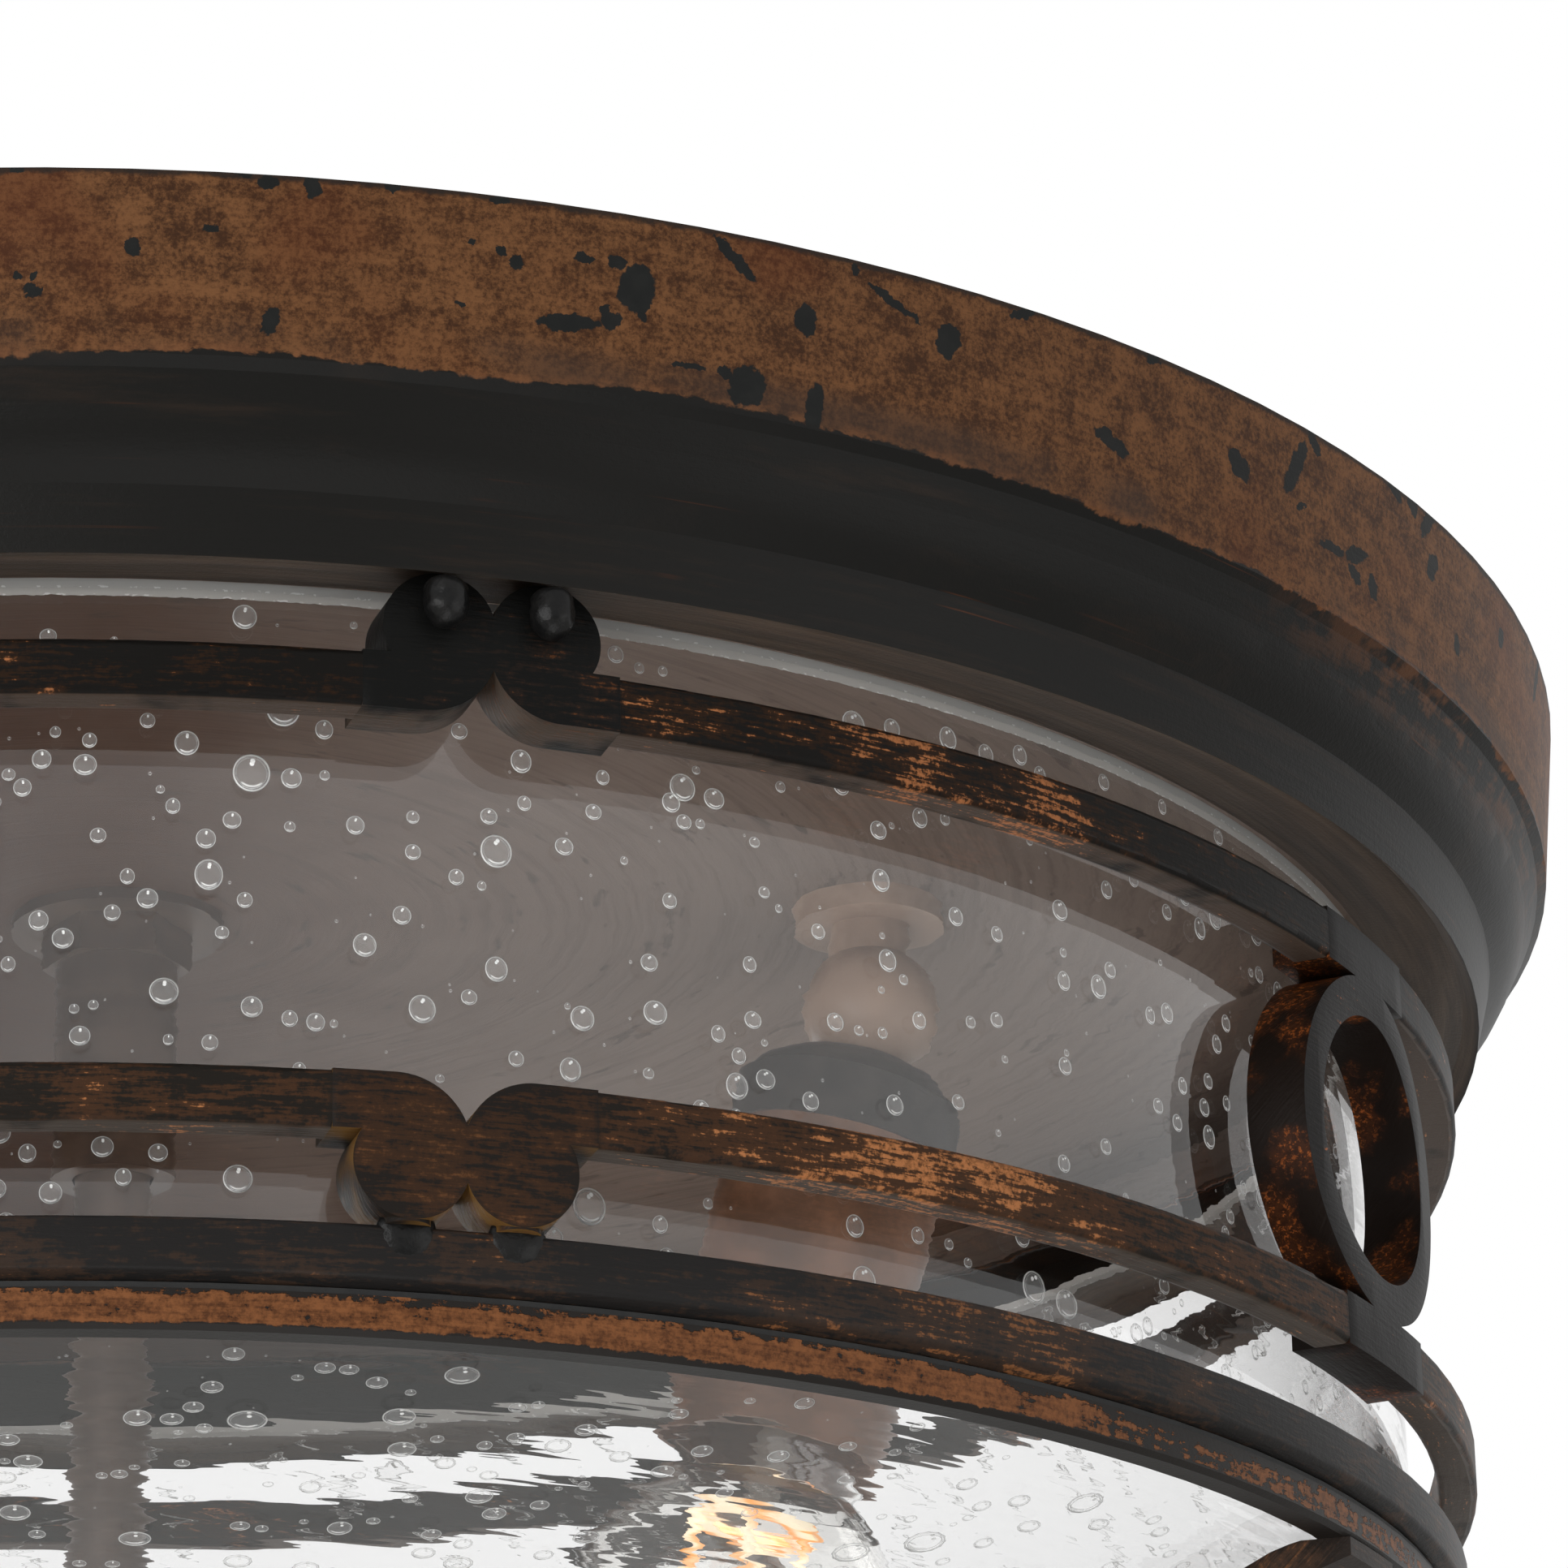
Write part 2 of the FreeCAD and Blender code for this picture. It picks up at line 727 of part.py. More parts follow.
def door_gasket():
    outer = "door_radius - gasket_inset"
    return turned_body("door_gasket", rectangle(f"{outer} - gasket_width", "-door_top", outer, RING_BOTTOM))


def door_ring():
    wall = "door_radius - door_wall"
    lip = "door_radius - door_lip"
    return turned_body(
        "door_ring",
        [
            (wall, "-door_top"),
            (wall, "-door_bottom + lip_wall"),
            (lip, "-door_bottom + lip_wall"),
            (lip, "-door_bottom"),
            ("door_radius - door_bevel", "-door_bottom"),
            ("door_radius", "-door_bottom + door_bevel"),
            ("door_radius", "-door_top"),
        ],
    )


def on_sphere(radius, across):
    """Height of a sphere about the dome's centre at a distance from the axis."""
    return f"dome_centre - sqrt(({radius}) ^ 2 - ({across}) ^ 2)"


def glass_dome():
    edge = "door_radius - door_wall - dome_edge_gap"
    rim = "-door_top - seat_gap"
    inner = "dome_sphere - dome_wall"
    inner_edge = f"sqrt(({inner}) ^ 2 - (dome_centre - ({rim})) ^ 2)"
    return turned_body(
        "glass_dome",
        [
            ("dome_hole", on_sphere("dome_sphere", "dome_hole"), ("dome_sphere", -1, False)),
            (edge, on_sphere("dome_sphere", edge)),
            (edge, rim),
            (inner_edge, rim, (inner, 1, False)),
            ("dome_hole", on_sphere(inner, "dome_hole")),
        ],
    )


def cross_strap():
    """Four arms from the hub to the door ring, cut from one bowl that follows the dome."""
    body = new_body("cross_strap")
    bore = "rod_radius + rod_clearance"
    top = "dome_sphere + strap_gap"
    low = "dome_sphere + strap_gap + strap_height"
    lip = "door_radius - door_lip"
    section = new_sketch(body, "XZ_Plane", "section")
    outline(
        section,
        [
            (bore, on_sphere(top, bore), (top, -1, False)),
            (f"{lip} - strap_inner_rise", on_sphere(top, f"{lip} - strap_inner_rise")),
            (f"{lip} - strap_seat_run", "-door_bottom"),
            ("door_radius", "-door_bottom"),
            ("door_radius", "-door_bottom - strap_edge_height"),
            (f"{lip} - strap_seat_run", on_sphere(low, f"{lip} - strap_seat_run"), (low, 1, False)),
            ("boss_radius", on_sphere(low, "boss_radius")),
            ("boss_radius", "-boss_depth"),
            (bore, "-boss_depth"),
        ],
    )
    revolve(body, section)
    window = new_sketch(body, "XY_Plane", "window")
    far = "door_radius + overrun"
    arm = [
        ("sqrt(hub_radius ^ 2 - strap_half_width ^ 2)", "strap_half_width"),
        ("leaf_start", "strap_half_width"),
        ("leaf_widest", "leaf_half_width"),
        ("door_radius", "leaf_tip_half_width"),
        (far, "leaf_tip_half_width"),
    ]
    other = [(across, along) for along, across in reversed(arm)]
    other[-1] += (("hub_radius", 1, False),)
    outline(window, arm + [(far, far)] + other)
    cut = pocket(body, window, "4 * boss_depth")
    polar(body, cut, "knot_count")
    place(body, "medallion_azimuth")
    return body


def finial():
    """A turned cup, neck, ball and tip with a blind bore for the end of the rod."""
    top = "-boss_depth - finial_gap"
    bore = "rod_radius + thread_clearance"
    ball_top = "-finial_ball_depth + sqrt(finial_ball_radius ^ 2 - finial_neck_radius ^ 2)"
    ball_low = "-finial_ball_depth - sqrt(finial_ball_radius ^ 2 - finial_tip_radius ^ 2)"
    return turned_body(
        "finial",
        [
            (bore, top),
            ("finial_cup_radius", top, ("finial_cup_height * 3", 1, False)),
            ("finial_neck_radius", f"{top} - finial_cup_height"),
            ("finial_neck_radius", ball_top, ("finial_ball_radius", 1, False)),
            ("finial_tip_radius", ball_low),
            ("finial_tip_radius", "-finial_tip_depth + finial_tip_radius", ("finial_tip_radius", 1, False)),
            ("0", "-finial_tip_depth"),
            ("0", "-rod_end - finial_bore_spare"),
            (bore, "-rod_end - finial_bore_spare"),
        ],
    )


# Lamp holders and bulbs, each turned about the lamp's own axis with its origin at the ball


def lamp_angle(turn):
    return f"(lamp_azimuth + {turn} * 360 / lamp_count)"


def lamp_centre(turn):
    angle = lamp_angle(turn)
    return f"lamp_place * sin({angle})", f"-lamp_place * cos({angle})", "-lamp_depth"


def lean(piece, turn):
    place(piece, f"{lamp_angle(turn)} - 90", lamp_centre(turn), "lamp_tilt")


def socket_mount(label, turn):
    """An upright base and neck above the ball that the socket hangs from."""
    base = "lamp_depth - pan_depth - pan_sheet"
    body = turned_body(
        label,
        [
            ("0", "-ball_radius", ("ball_radius", -1, False)),
            ("mount_neck_radius", "sqrt(ball_radius ^ 2 - mount_neck_radius ^ 2)"),
            ("mount_neck_radius", f"{base} - mount_base_height"),
            ("mount_base_radius", f"{base} - mount_base_height"),
            ("mount_base_radius", base),
            ("0", base),
        ],
    )
    place(body, lamp_angle(turn), lamp_centre(turn))
    return body


CAP_END = "cap_start + cap_height"
CORE_RADIUS = "sleeve_radius - sleeve_wall - fit_gap"


def socket_cap(label, turn):
    seat = "sqrt(ball_radius ^ 2 - cap_start ^ 2)"
    body = turned_body(
        label,
        [
            (seat, "-cap_start"),
            ("cap_top_radius", "-cap_start", ("cap_radius", 1, False)),
            ("cap_radius", "-cap_start - cap_shoulder"),
            ("cap_radius", f"-({CAP_END})"),
            ("cap_radius - cap_wall", f"-({CAP_END})"),
            ("cap_radius - cap_wall", "-cap_start - cap_shoulder - cap_wall"),
            (seat, "-cap_start - cap_shoulder - cap_wall"),
        ],
    )
    lean(body, turn)
    return body


def socket_sleeve(label, turn):
    body = turned_body(
        label,
        rectangle("sleeve_radius - sleeve_wall", "-sleeve_end", "sleeve_radius", f"-({CAP_END})"),
    )
    lean(body, turn)
    return body


def socket_core(label, turn):
    """Porcelain core with the centre contact."""
    end = "core_start + core_height"
    body = turned_body(
        label,
        [
            ("0", f"-({end} + contact_height)"),
            ("contact_radius", f"-({end} + contact_height)"),
            ("contact_radius", f"-({end})"),
            (CORE_RADIUS, f"-({end})"),
            (CORE_RADIUS, "-core_start"),
            ("0", "-core_start"),
        ],
    )
    lean(body, turn)
    return body


def socket_shell(label, turn):
    inner = "bulb_cap_radius + thread_clearance"
    body = turned_body(
        label,
        rectangle(inner, "-(shell_start + shell_length)", f"{inner} + shell_wall", "-shell_start"),
    )
    lean(body, turn)
    return body


def bulb_cap(label, turn):
    """Screw cap with rounded turns and a tapered foot to the contact."""
    corners = [("0", "-bulb_start"), ("bulb_foot_radius", "-bulb_start")]
    pitch = "bulb_cap_height / bulb_turns"
    for step in range(SIZES["bulb_turns"]):
        start = f"bulb_start + bulb_foot_height + {step} * {pitch}"
        corners.append(("bulb_cap_radius - bulb_thread_depth", f"-({start})"))
        corners.append(("bulb_cap_radius", f"-({start} + {pitch} / 2)"))
    corners.append(("bulb_cap_radius - bulb_thread_depth", "-bulb_cap_end"))
    corners.append(("0", "-bulb_cap_end"))
    body = turned_body(label, corners[::-1])
    lean(body, turn)
    return body


def bulb_glass(label, turn):
    """A blown globe on a short neck, hollow."""
    inner_neck = "bulb_neck_radius - glass_wall"
    inner_globe = "globe_radius - glass_wall"
    swell = "-globe_depth + sqrt(globe_radius ^ 2 - bulb_neck_radius ^ 2)"
    inner_swell = f"-globe_depth + sqrt(({inner_globe}) ^ 2 - ({inner_neck}) ^ 2)"
    body = turned_body(
        label,
        [
            (inner_neck, "-bulb_cap_end"),
            (inner_neck, inner_swell, (inner_globe, 1, False)),
            ("0", f"-globe_depth - ({inner_globe})"),
            ("0", "-globe_depth - globe_radius", ("globe_radius", -1, False)),
            ("bulb_neck_radius", swell),
            ("bulb_neck_radius", "-bulb_cap_end"),
        ],
    )
    lean(body, turn)
    return body


def bulb_filament(label, turn):
    """A glass stalk with two plates that hold the filaments upright in a ring."""
    body = new_body(label)
    start = "bulb_cap_end"
    low = "(globe_depth + filament_length / 2)"
    high = "(globe_depth - filament_length / 2)"
    plate = "filament_ring + filament_plate_reach"
    stalk = new_sketch(body, "XZ_Plane", "stalk")
    outline(
        stalk,
        [
            ("0", f"-{low} - filament_plate"),
            (plate, f"-{low} - filament_plate"),
            (plate, f"-{low}"),
            ("stalk_radius", f"-{low}"),
            ("stalk_radius", f"-{high}"),
            (plate, f"-{high}"),
            (plate, f"-{high} + filament_plate"),
            ("stalk_radius", f"-{high} + filament_plate"),
            ("stalk_radius", f"-{start}"),
            ("0", f"-{start}"),
        ],
    )
    revolve(body, stalk)
    wire = new_sketch(body, "XY_Plane", "wire", f"-{low}")
    disc(wire, "filament_ring", "0", "filament_radius")
    polar(body, pad(body, wire, "filament_length"), "filament_count")
    lean(body, turn)
    return body


def everything():
    pieces = [
        canopy(),
        reflector_pan(),
        insulation_pad(),
        crossbar(),
        centre_rod(),
        hexagon_nut("lock_nut", "-bar_height - collar_height", "lock_nut_height"),
        sleeve_on_rod("pan_washer", "washer_radius", "-pan_depth - pan_sheet", "washer_height"),
        hexagon_nut("pan_nut", "-pan_depth - pan_sheet - washer_height", "pan_nut_height"),
        sleeve_on_rod(
            "stem_sleeve", "stem_radius", "-pan_depth - pan_sheet - washer_height - pan_nut_height", "stem_length"
        ),
        glass_drum(),
        knot_pins(),
        bottom_ring(),
        door_gasket(),
        door_ring(),
        glass_dome(),
        cross_strap(),
        finial(),
    ]
    screw = ground_screw()
    place(screw, "0", ("earth_place", "0", "0"))
    pieces.append(screw)
    medallion_gap = ("medallion_azimuth", "medallion_half_length")
    pieces.append(
        rail_bars("upper_rail_bars", "upper_rail_depth", [("upper_knot_azimuth", "knot_half_length"), medallion_gap])
    )
    pieces.append(
        rail_bars("lower_rail_bars", "lower_rail_depth", [("lower_knot_azimuth", "knot_half_length"), medallion_gap])
    )
    middle = "-(upper_rail_depth + rail_height + lower_rail_depth) / 2"
    for turn in range(SIZES["knot_count"]):
        number = turn + 1
        quarter = f"{turn} * 360 / knot_count"
        pieces.append(casting(f"upper_knot_{number}", knot_outline(False), f"upper_knot_azimuth + {quarter}"))
        pieces.append(
            casting(f"lower_knot_{number}", knot_outline(True), f"lower_knot_azimuth + {quarter}", legs=True)
        )
        pieces.append(
            casting(
                f"medallion_{number}",
                medallion_outline(),
                f"medallion_azimuth + {quarter}",
                hole=(middle, "medallion_hole"),
            )
        )
    for turn in range(SIZES["lamp_count"]):
        for make in (socket_mount, socket_cap, socket_sleeve, socket_core, socket_shell):
            pieces.append(make(f"{make.__name__}_{turn + 1}", turn))
        for make in (bulb_cap, bulb_glass, bulb_filament):
            pieces.append(make(f"{make.__name__}_{turn + 1}", turn))
    return pieces


def main():
    pieces = everything()
    document.recompute()
    failed = [item.Label for item in document.Objects if "Invalid" in item.State or "Error" in item.State]
    failed += [piece.Label for piece in pieces if piece.Shape.isNull() or not piece.Shape.isValid()]
    if failed:
        raise ValueError(f"These objects failed: {', '.join(failed)}")
    os.makedirs("parts", exist_ok=True)
    for piece in pieces:
        piece.Shape.exportStep(f"parts/{piece.Label}.step")
        box = piece.Shape.BoundBox
        print(f"{piece.Label}: {len(piece.Shape.Solids)} solid, {piece.Shape.Volume:.1f} mm3, "
              f"z {box.ZMin:.2f} to {box.ZMax:.2f}")


main()
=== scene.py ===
import json
import math
import random

import bpy
from mathutils import Matrix, Vector
from mathutils.noise import noise

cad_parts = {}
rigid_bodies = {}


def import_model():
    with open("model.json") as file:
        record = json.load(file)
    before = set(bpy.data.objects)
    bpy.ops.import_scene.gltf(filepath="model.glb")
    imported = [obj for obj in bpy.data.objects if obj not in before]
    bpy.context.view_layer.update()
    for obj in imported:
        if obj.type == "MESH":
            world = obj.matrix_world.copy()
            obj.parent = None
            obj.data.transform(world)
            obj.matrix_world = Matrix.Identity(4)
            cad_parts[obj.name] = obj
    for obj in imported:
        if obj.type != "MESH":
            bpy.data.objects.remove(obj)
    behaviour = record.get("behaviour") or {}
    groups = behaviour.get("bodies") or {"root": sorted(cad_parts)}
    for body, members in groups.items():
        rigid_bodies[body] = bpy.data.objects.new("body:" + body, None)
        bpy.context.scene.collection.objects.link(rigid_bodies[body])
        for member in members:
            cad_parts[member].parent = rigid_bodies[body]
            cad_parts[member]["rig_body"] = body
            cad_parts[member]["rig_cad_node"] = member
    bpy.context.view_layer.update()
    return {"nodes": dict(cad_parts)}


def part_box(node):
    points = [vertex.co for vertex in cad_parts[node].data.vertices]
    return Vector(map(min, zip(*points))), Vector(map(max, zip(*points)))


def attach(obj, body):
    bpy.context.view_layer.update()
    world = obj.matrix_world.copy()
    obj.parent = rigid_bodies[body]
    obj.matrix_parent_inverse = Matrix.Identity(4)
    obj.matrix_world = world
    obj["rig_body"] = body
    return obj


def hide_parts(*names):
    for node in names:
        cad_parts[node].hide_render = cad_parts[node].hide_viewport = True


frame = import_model()
nodes = frame["nodes"]

# Ceiling light with a seeded glass drum in an open cage.
# Metres. The ceiling plane is z = 0 and the axis is Z. Azimuths are degrees from the front, -Y, towards +X.

# The camera that the photograph was taken with, as fitted to it: turns in radians, lens and sensor in mm
CAMERA_PLACE = (0.0, -0.8385985, -0.328688)
CAMERA_YAW = 0.1062
CAMERA_PITCH = 0.378
CAMERA_ROLL = -0.0216
CAMERA_LENS = 153.883
CAMERA_SENSOR = 36.0
CAMERA_NEAR = 0.05
CAMERA_FAR = 50.0

# Floor, surround, and the point that the lamps look at
FLOOR_HEIGHT = -2.2
FLOOR_SIZE = 24.0
FLOOR_GLOW = 0.75
SKY_LIGHT = 0.25
LAMP_AIM = (0.0, 0.0, -0.08)

# Lamps: name, place, width, height and watts
LAMPS = (
    ("key_lamp", (-0.9, -1.3, -0.15), 0.9, 0.9, 11.0),
    ("fill_lamp", (1.3, -1.0, -0.45), 1.2, 1.2, 5.0),
    ("low_lamp", (0.1, -0.6, -1.15), 1.0, 0.7, 4.0),
    ("top_lamp", (0.5, 1.0, 1.3), 1.2, 1.2, 14.0),
    ("rear_lamp", (-0.8, 1.4, -0.3), 0.9, 0.9, 7.0),
)

# Glass, with the bare skin that bubbles leave at its faces
DRUM_RADIUS = 0.1665
DRUM_WALL = 0.0035
DRUM_TOP = -0.0376
DRUM_END = -0.1165
DRUM_SKIN = 0.0003
DOME_SPHERE = 0.5
DOME_WALL = 0.003
DOME_RADIUS = 0.1692
DOME_LOW = -0.1517
DOME_OUTER_SKIN = 0.0002
DOME_INNER_SKIN = 0.0003
BALL_RADIUS = 0.0085
GLOBE_RADIUS = 0.021

# Bubbles: share of all bubbles up to each row, and the least and most half width in that row
SEED_SIZES = (
    (0.3, 0.00012, 0.00022), (0.5, 0.0004, 0.0008), (0.88, 0.0009, 0.0013), (0.98, 0.0013, 0.0017),
    (1.0, 0.0018, 0.0024),
)
SEED_STEPS = (12, 4)
SEED_CELL = 0.004
SEED_ROOM = 1.2
SEED_EDGE_GAP = 0.003

# How many bubbles, how flat they lie in the glass, how far they stretch round the axis, and for the dome the share of
# its area that they keep to
DRUM_SEED_COUNT = 2700
DRUM_SEED_FLAT = (0.30, 0.42)
DRUM_SEED_STRETCH = (0.86, 1.04)
DOME_SEED_COUNT = 2750
DOME_SEED_FLAT = (0.28, 0.4)
DOME_SEED_STRETCH = (0.95, 1.2)
DOME_SEED_REACH = (0.006, 0.93)

# Cage and its welds
CAGE_RADIUS = 0.175
UPPER_KNOT_AZIMUTH = 13.2
LOWER_KNOT_AZIMUTH = 12.2
LOBE_OFFSET = 0.006
MERGE_GAP = 0.00001
ROLLED_EDGE = 0.0005
ROLL_STEPS = 3
ROLL_ANGLE = 40
SMOOTH_ANGLE = 50
WELD_RADIUS = 0.00245
WELD_SEAT_SHARE = 0.9
WELD_FLARE = 0.22
FOOT_INSET = 0.0007
FOOT_SINK = 0.0006
FOOT_REACH = (0.0033, 0.0012)
FOOT_HALF = 0.0031
BEAD_STEPS = (28, 20)
POLE_SHARE = 0.02
LUMP = 0.00022
FINE_LUMP = 0.00012

# Wool pad: the ring that it is lofted from, its room, and how far it sags and frays
PAD_PLAN = 0.12
PAD_TUBE = 0.004
PAD_STEPS = (192, 40)
PAD_SIDE_POWER = 0.22
PAD_TOP_POWER = 0.45
PAD_INNER = 0.0622
PAD_ROOM = 0.0002
PAD_SAG = 0.0009
PAD_TUFT = 0.0005
PAD_FRAY = 0.0012
PAD_SINK = 0.0006
PAD_LOW_GAP = 0.0003
PAD_TOP_GAP = 0.0001

# Places on the canopy, the door ring, the pan, the drum and the filaments between which a finish goes from none to
# full.
# At the band's lower edge, the pan and the drum's ground edge these set painted light: a painted highlight, a painted
# sheen and painted sparkles.
STAIN_FALL = (-0.0145, -0.0185)
EDGE_HIGHLIGHT_RISE = (-0.0192, -0.0204)
RIM_PAINT = (-0.0009, -0.0003)
SMEAR_FALL = (-0.0290, -0.0205)
BAND_END = (-0.0208, -0.0205)
LIP_RADII = (0.1789, 0.1779)
LIP_FALL = (-0.030, -0.034)
DOOR_TOP_PAINT = (0.0006, 0.0003)
DOOR_LOW_PAINT = (0.0008, 0.0006)
PAN_SHEEN_SPAN = (-0.03, 0.09)
GROUND_START = (-0.03872, -0.03864)
PAINTED_SPARKLE_START = (-0.03840, -0.03855)
STRIP_REACH = (0.0048, 0.0056)

# How far ragged noise shifts those places
BAND_WAVE = 0.0036
BAND_TEAR = 0.0022
RIM_TEAR = 0.0016
DOOR_TOP_TEAR = 0.0065
DOOR_LOW_TEAR = 0.0022
PAN_CLOUDING = 0.05
GROUND_TEAR = 0.0005

# How far fine grain and kept edges shift the rub pattern, and the span from paint to brown
RUB_FINENESS = 0.26
EDGE_KEEP = 0.12
BROWN_SPAN = 0.10

# The chips below are laid on the unrolled band in mm, over these azimuths and so deep that radius has no say
BAND_RADIUS_MM = 189.5
MM_IN_METRE = 1000.0
CHIP_SPAN = (82.0, -8.0)
CHIP_TEAR = 2.0
CHIP_DEPTH = 1000.0

# Bare black places in the copper band: azimuth, height, half length and half width in mm, and lean in degrees
CHIPS = (
    (-3.7, -0.1, 0.9, 0.6, 0), (3.6, -0.1, 0.9, 0.4, 5), (4.4, -0.9, 1.1, 0.8, 2), (5.9, -1.0, 1.6, 0.9, -86),
    (8.5, -0.2, 1.1, 0.6, 9), (12.1, -0.3, 1.3, 0.5, 8), (2.6, -6.5, 1.1, 0.5, 4), (0.1, -8.8, 1.1, 0.9, 85),
    (-3.1, -14.1, 1.1, 0.8, 0), (-3.6, -12.1, 0.6, 0.5, -49), (-3.1, -12.5, 0.6, 0.4, 90), (4.6, -16.7, 1.6, 0.9, 67),
    (11.2, -5.8, 0.6, 0.3, 9), (12.7, -7.4, 1.0, 0.8, 51), (12.2, -6.3, 0.7, 0.4, -43), (10.8, -12.9, 0.6, 0.3, -15),
    (14.5, -13.5, 3.8, 1.0, 6), (16.0, -12.6, 1.3, 1.0, 34), (15.8, -11.5, 0.9, 0.5, 83), (15.0, -5.9, 1.2, 0.6, 12),
    (16.9, -8.4, 2.7, 2.2, 67), (16.2, -5.8, 1.0, 0.7, -5), (17.1, -10.6, 1.4, 0.7, 79), (20.4, -3.0, 3.5, 0.8, -40),
    (23.1, -8.4, 2.0, 1.4, -83), (24.9, -1.1, 0.8, 0.5, -74), (26.5, -3.9, 3.9, 0.5, -24), (28.7, -6.6, 2.1, 1.7, 70),
    (31.8, -0.8, 1.9, 0.7, 20), (20.9, -17.5, 2.5, 2.1, 55), (20.1, -16.3, 1.0, 0.7, -12), (23.5, -18.4, 3.0, 1.1, 84),
    (18.8, -16.4, 2.1, 0.4, 6), (36.0, -12.4, 2.9, 1.1, -20), (37.9, -0.5, 1.2, 0.6, 15), (42.6, -8.8, 2.4, 1.4, -35),
    (45.9, -5.5, 4.3, 1.2, 65), (47.0, -1.0, 2.0, 0.8, -46), (46.3, -9.9, 1.1, 0.5, 31), (52.8, -0.3, 1.9, 1.0, -28),
    (54.2, -0.5, 1.7, 1.1, -45), (55.6, -1.1, 3.0, 1.0, 51), (48.4, -12.9, 2.9, 0.6, 2), (50.1, -11.8, 2.6, 1.0, 17),
    (50.0, -14.3, 1.8, 0.8, -30), (51.3, -14.5, 1.6, 1.1, -75), (56.1, -6.4, 2.2, 1.4, 57),
    (58.7, -13.2, 1.5, 0.8, -75), (63.9, -5.9, 1.5, 1.1, 48), (70.5, -3.0, 4.1, 0.9, 65),
)


# Studio


def set_camera():
    """The photograph's camera, from its place and its three turns."""
    lens = bpy.data.cameras.new("photo_camera")
    lens.sensor_width = CAMERA_SENSOR
    lens.lens = CAMERA_LENS
    lens.clip_start = CAMERA_NEAR
    lens.clip_end = CAMERA_FAR
    camera = bpy.data.objects.new("photo_camera", lens)
    bpy.context.scene.collection.objects.link(camera)
    ahead = Vector((
        math.sin(CAMERA_YAW) * math.cos(CAMERA_PITCH),
        math.cos(CAMERA_YAW) * math.cos(CAMERA_PITCH),
        math.sin(CAMERA_PITCH),
    ))
    level = Vector((math.cos(CAMERA_YAW), -math.sin(CAMERA_YAW), 0.0))
    upward = level.cross(ahead)
    right = level * math.cos(CAMERA_ROLL) + upward * math.sin(CAMERA_ROLL)
    above = -level * math.sin(CAMERA_ROLL) + upward * math.cos(CAMERA_ROLL)
    turn = Matrix((right, above, -ahead)).transposed()
    camera.matrix_world = Matrix.Translation(CAMERA_PLACE) @ turn.to_4x4()
    bpy.context.scene.camera = camera


def softbox(name, place, aim, width, height, power):
    """A rectangular lamp that looks at a point."""
    lamp = bpy.data.lights.new(name, "AREA")
    lamp.shape = "RECTANGLE"
    lamp.size = width
    lamp.size_y = height
    lamp.energy = power
    box = bpy.data.objects.new(name, lamp)
    box.location = place
    box.rotation_mode = "QUATERNION"
    box.rotation_quaternion = (Vector(aim) - Vector(place)).to_track_quat("-Z", "Y")
    bpy.context.scene.collection.objects.link(box)


def studio():
    """White surround for the camera and the glass, soft light for the rest, and a pale floor."""
    world = bpy.data.worlds.new("studio")
    bpy.context.scene.world = world
    world.use_nodes = True
    tree = world.node_tree
    tree.nodes.clear()
    soft = add(tree, "ShaderNodeBackground", {"Color": (0.9, 0.95, 1.0, 1.0), "Strength": SKY_LIGHT})
    white = add(tree, "ShaderNodeBackground", {"Color": (1.0, 1.0, 1.0, 1.0), "Strength": 1.0})
    both = blended(tree, seen_directly(tree), soft, white)
    output = tree.nodes.new("ShaderNodeOutputWorld")
    tree.links.new(both.outputs[0], output.inputs[0])

    bpy.ops.object.select_all(action="DESELECT")
    bpy.ops.mesh.primitive_plane_add(size=FLOOR_SIZE, location=(0, 0, FLOOR_HEIGHT))
    floor = bpy.context.object
    floor.name = "floor"
    paper, tree, shader = new_finish("pale_floor")
    mottle = grain(tree, place_in(tree)[0], 3.0)
    tree.links.new(mix(tree, mottle, tint(205, 205, 203), tint(214, 214, 212)), shader.inputs["Base Color"])
    shader.inputs["Roughness"].default_value = 0.9
    pale = add(tree, "ShaderNodeEmission", {"Color": tint(214, 214, 212), "Strength": 1.0})
    surface(tree, blended(tree, times(tree, seen_directly(tree), FLOOR_GLOW), shader, pale))
    floor.data.materials.append(paper)

    for name, place, width, height, power in LAMPS:
        softbox(name, place, LAMP_AIM, width, height, power)


# Shader nodes


def add(tree, kind, inputs=(), **settings):
    """A shader node. Inputs are {name or number: value or another node's output}."""
    made = tree.nodes.new(kind)
    for word, setting in settings.items():
        setattr(made, word, setting)
    for key, given in dict(inputs).items():
        if isinstance(given, bpy.types.NodeSocket):
            tree.links.new(given, made.inputs[key])
        else:
            made.inputs[key].default_value = given
    return made


def calc(tree, operation, *terms):
    """A sum of plain numbers and of what other nodes give."""
    return add(tree, "ShaderNodeMath", enumerate(terms), operation=operation).outputs[0]


def plus(tree, first, second):
    return calc(tree, "ADD", first, second)


def minus(tree, first, second):
    return calc(tree, "SUBTRACT", first, second)


def times(tree, first, second):
    return calc(tree, "MULTIPLY", first, second)


def larger(tree, first, second):
    return calc(tree, "MAXIMUM", first, second)


def swing(tree, pattern, amount):
    """A pattern from 0 to 1 as a shift to both sides of zero."""
    return times(tree, minus(tree, pattern, 0.5), amount)


def vector(tree, operation, *terms):
    """The vector that a vector operation gives."""
    return add(tree, "ShaderNodeVectorMath", enumerate(terms), operation=operation).outputs[0]


def measure(tree, operation, *terms):
    """The plain number that a vector operation gives."""
    return add(tree, "ShaderNodeVectorMath", enumerate(terms), operation=operation).outputs["Value"]


def scaled(tree, source, size):
    """A vector made longer or shorter."""
    return add(tree, "ShaderNodeVectorMath", {0: source, 3: size}, operation="SCALE").outputs[0]


def together(tree, x, y, z=0.0):
    """A vector from its three parts."""
    return add(tree, "ShaderNodeCombineXYZ", {0: x, 1: y, 2: z}).outputs[0]


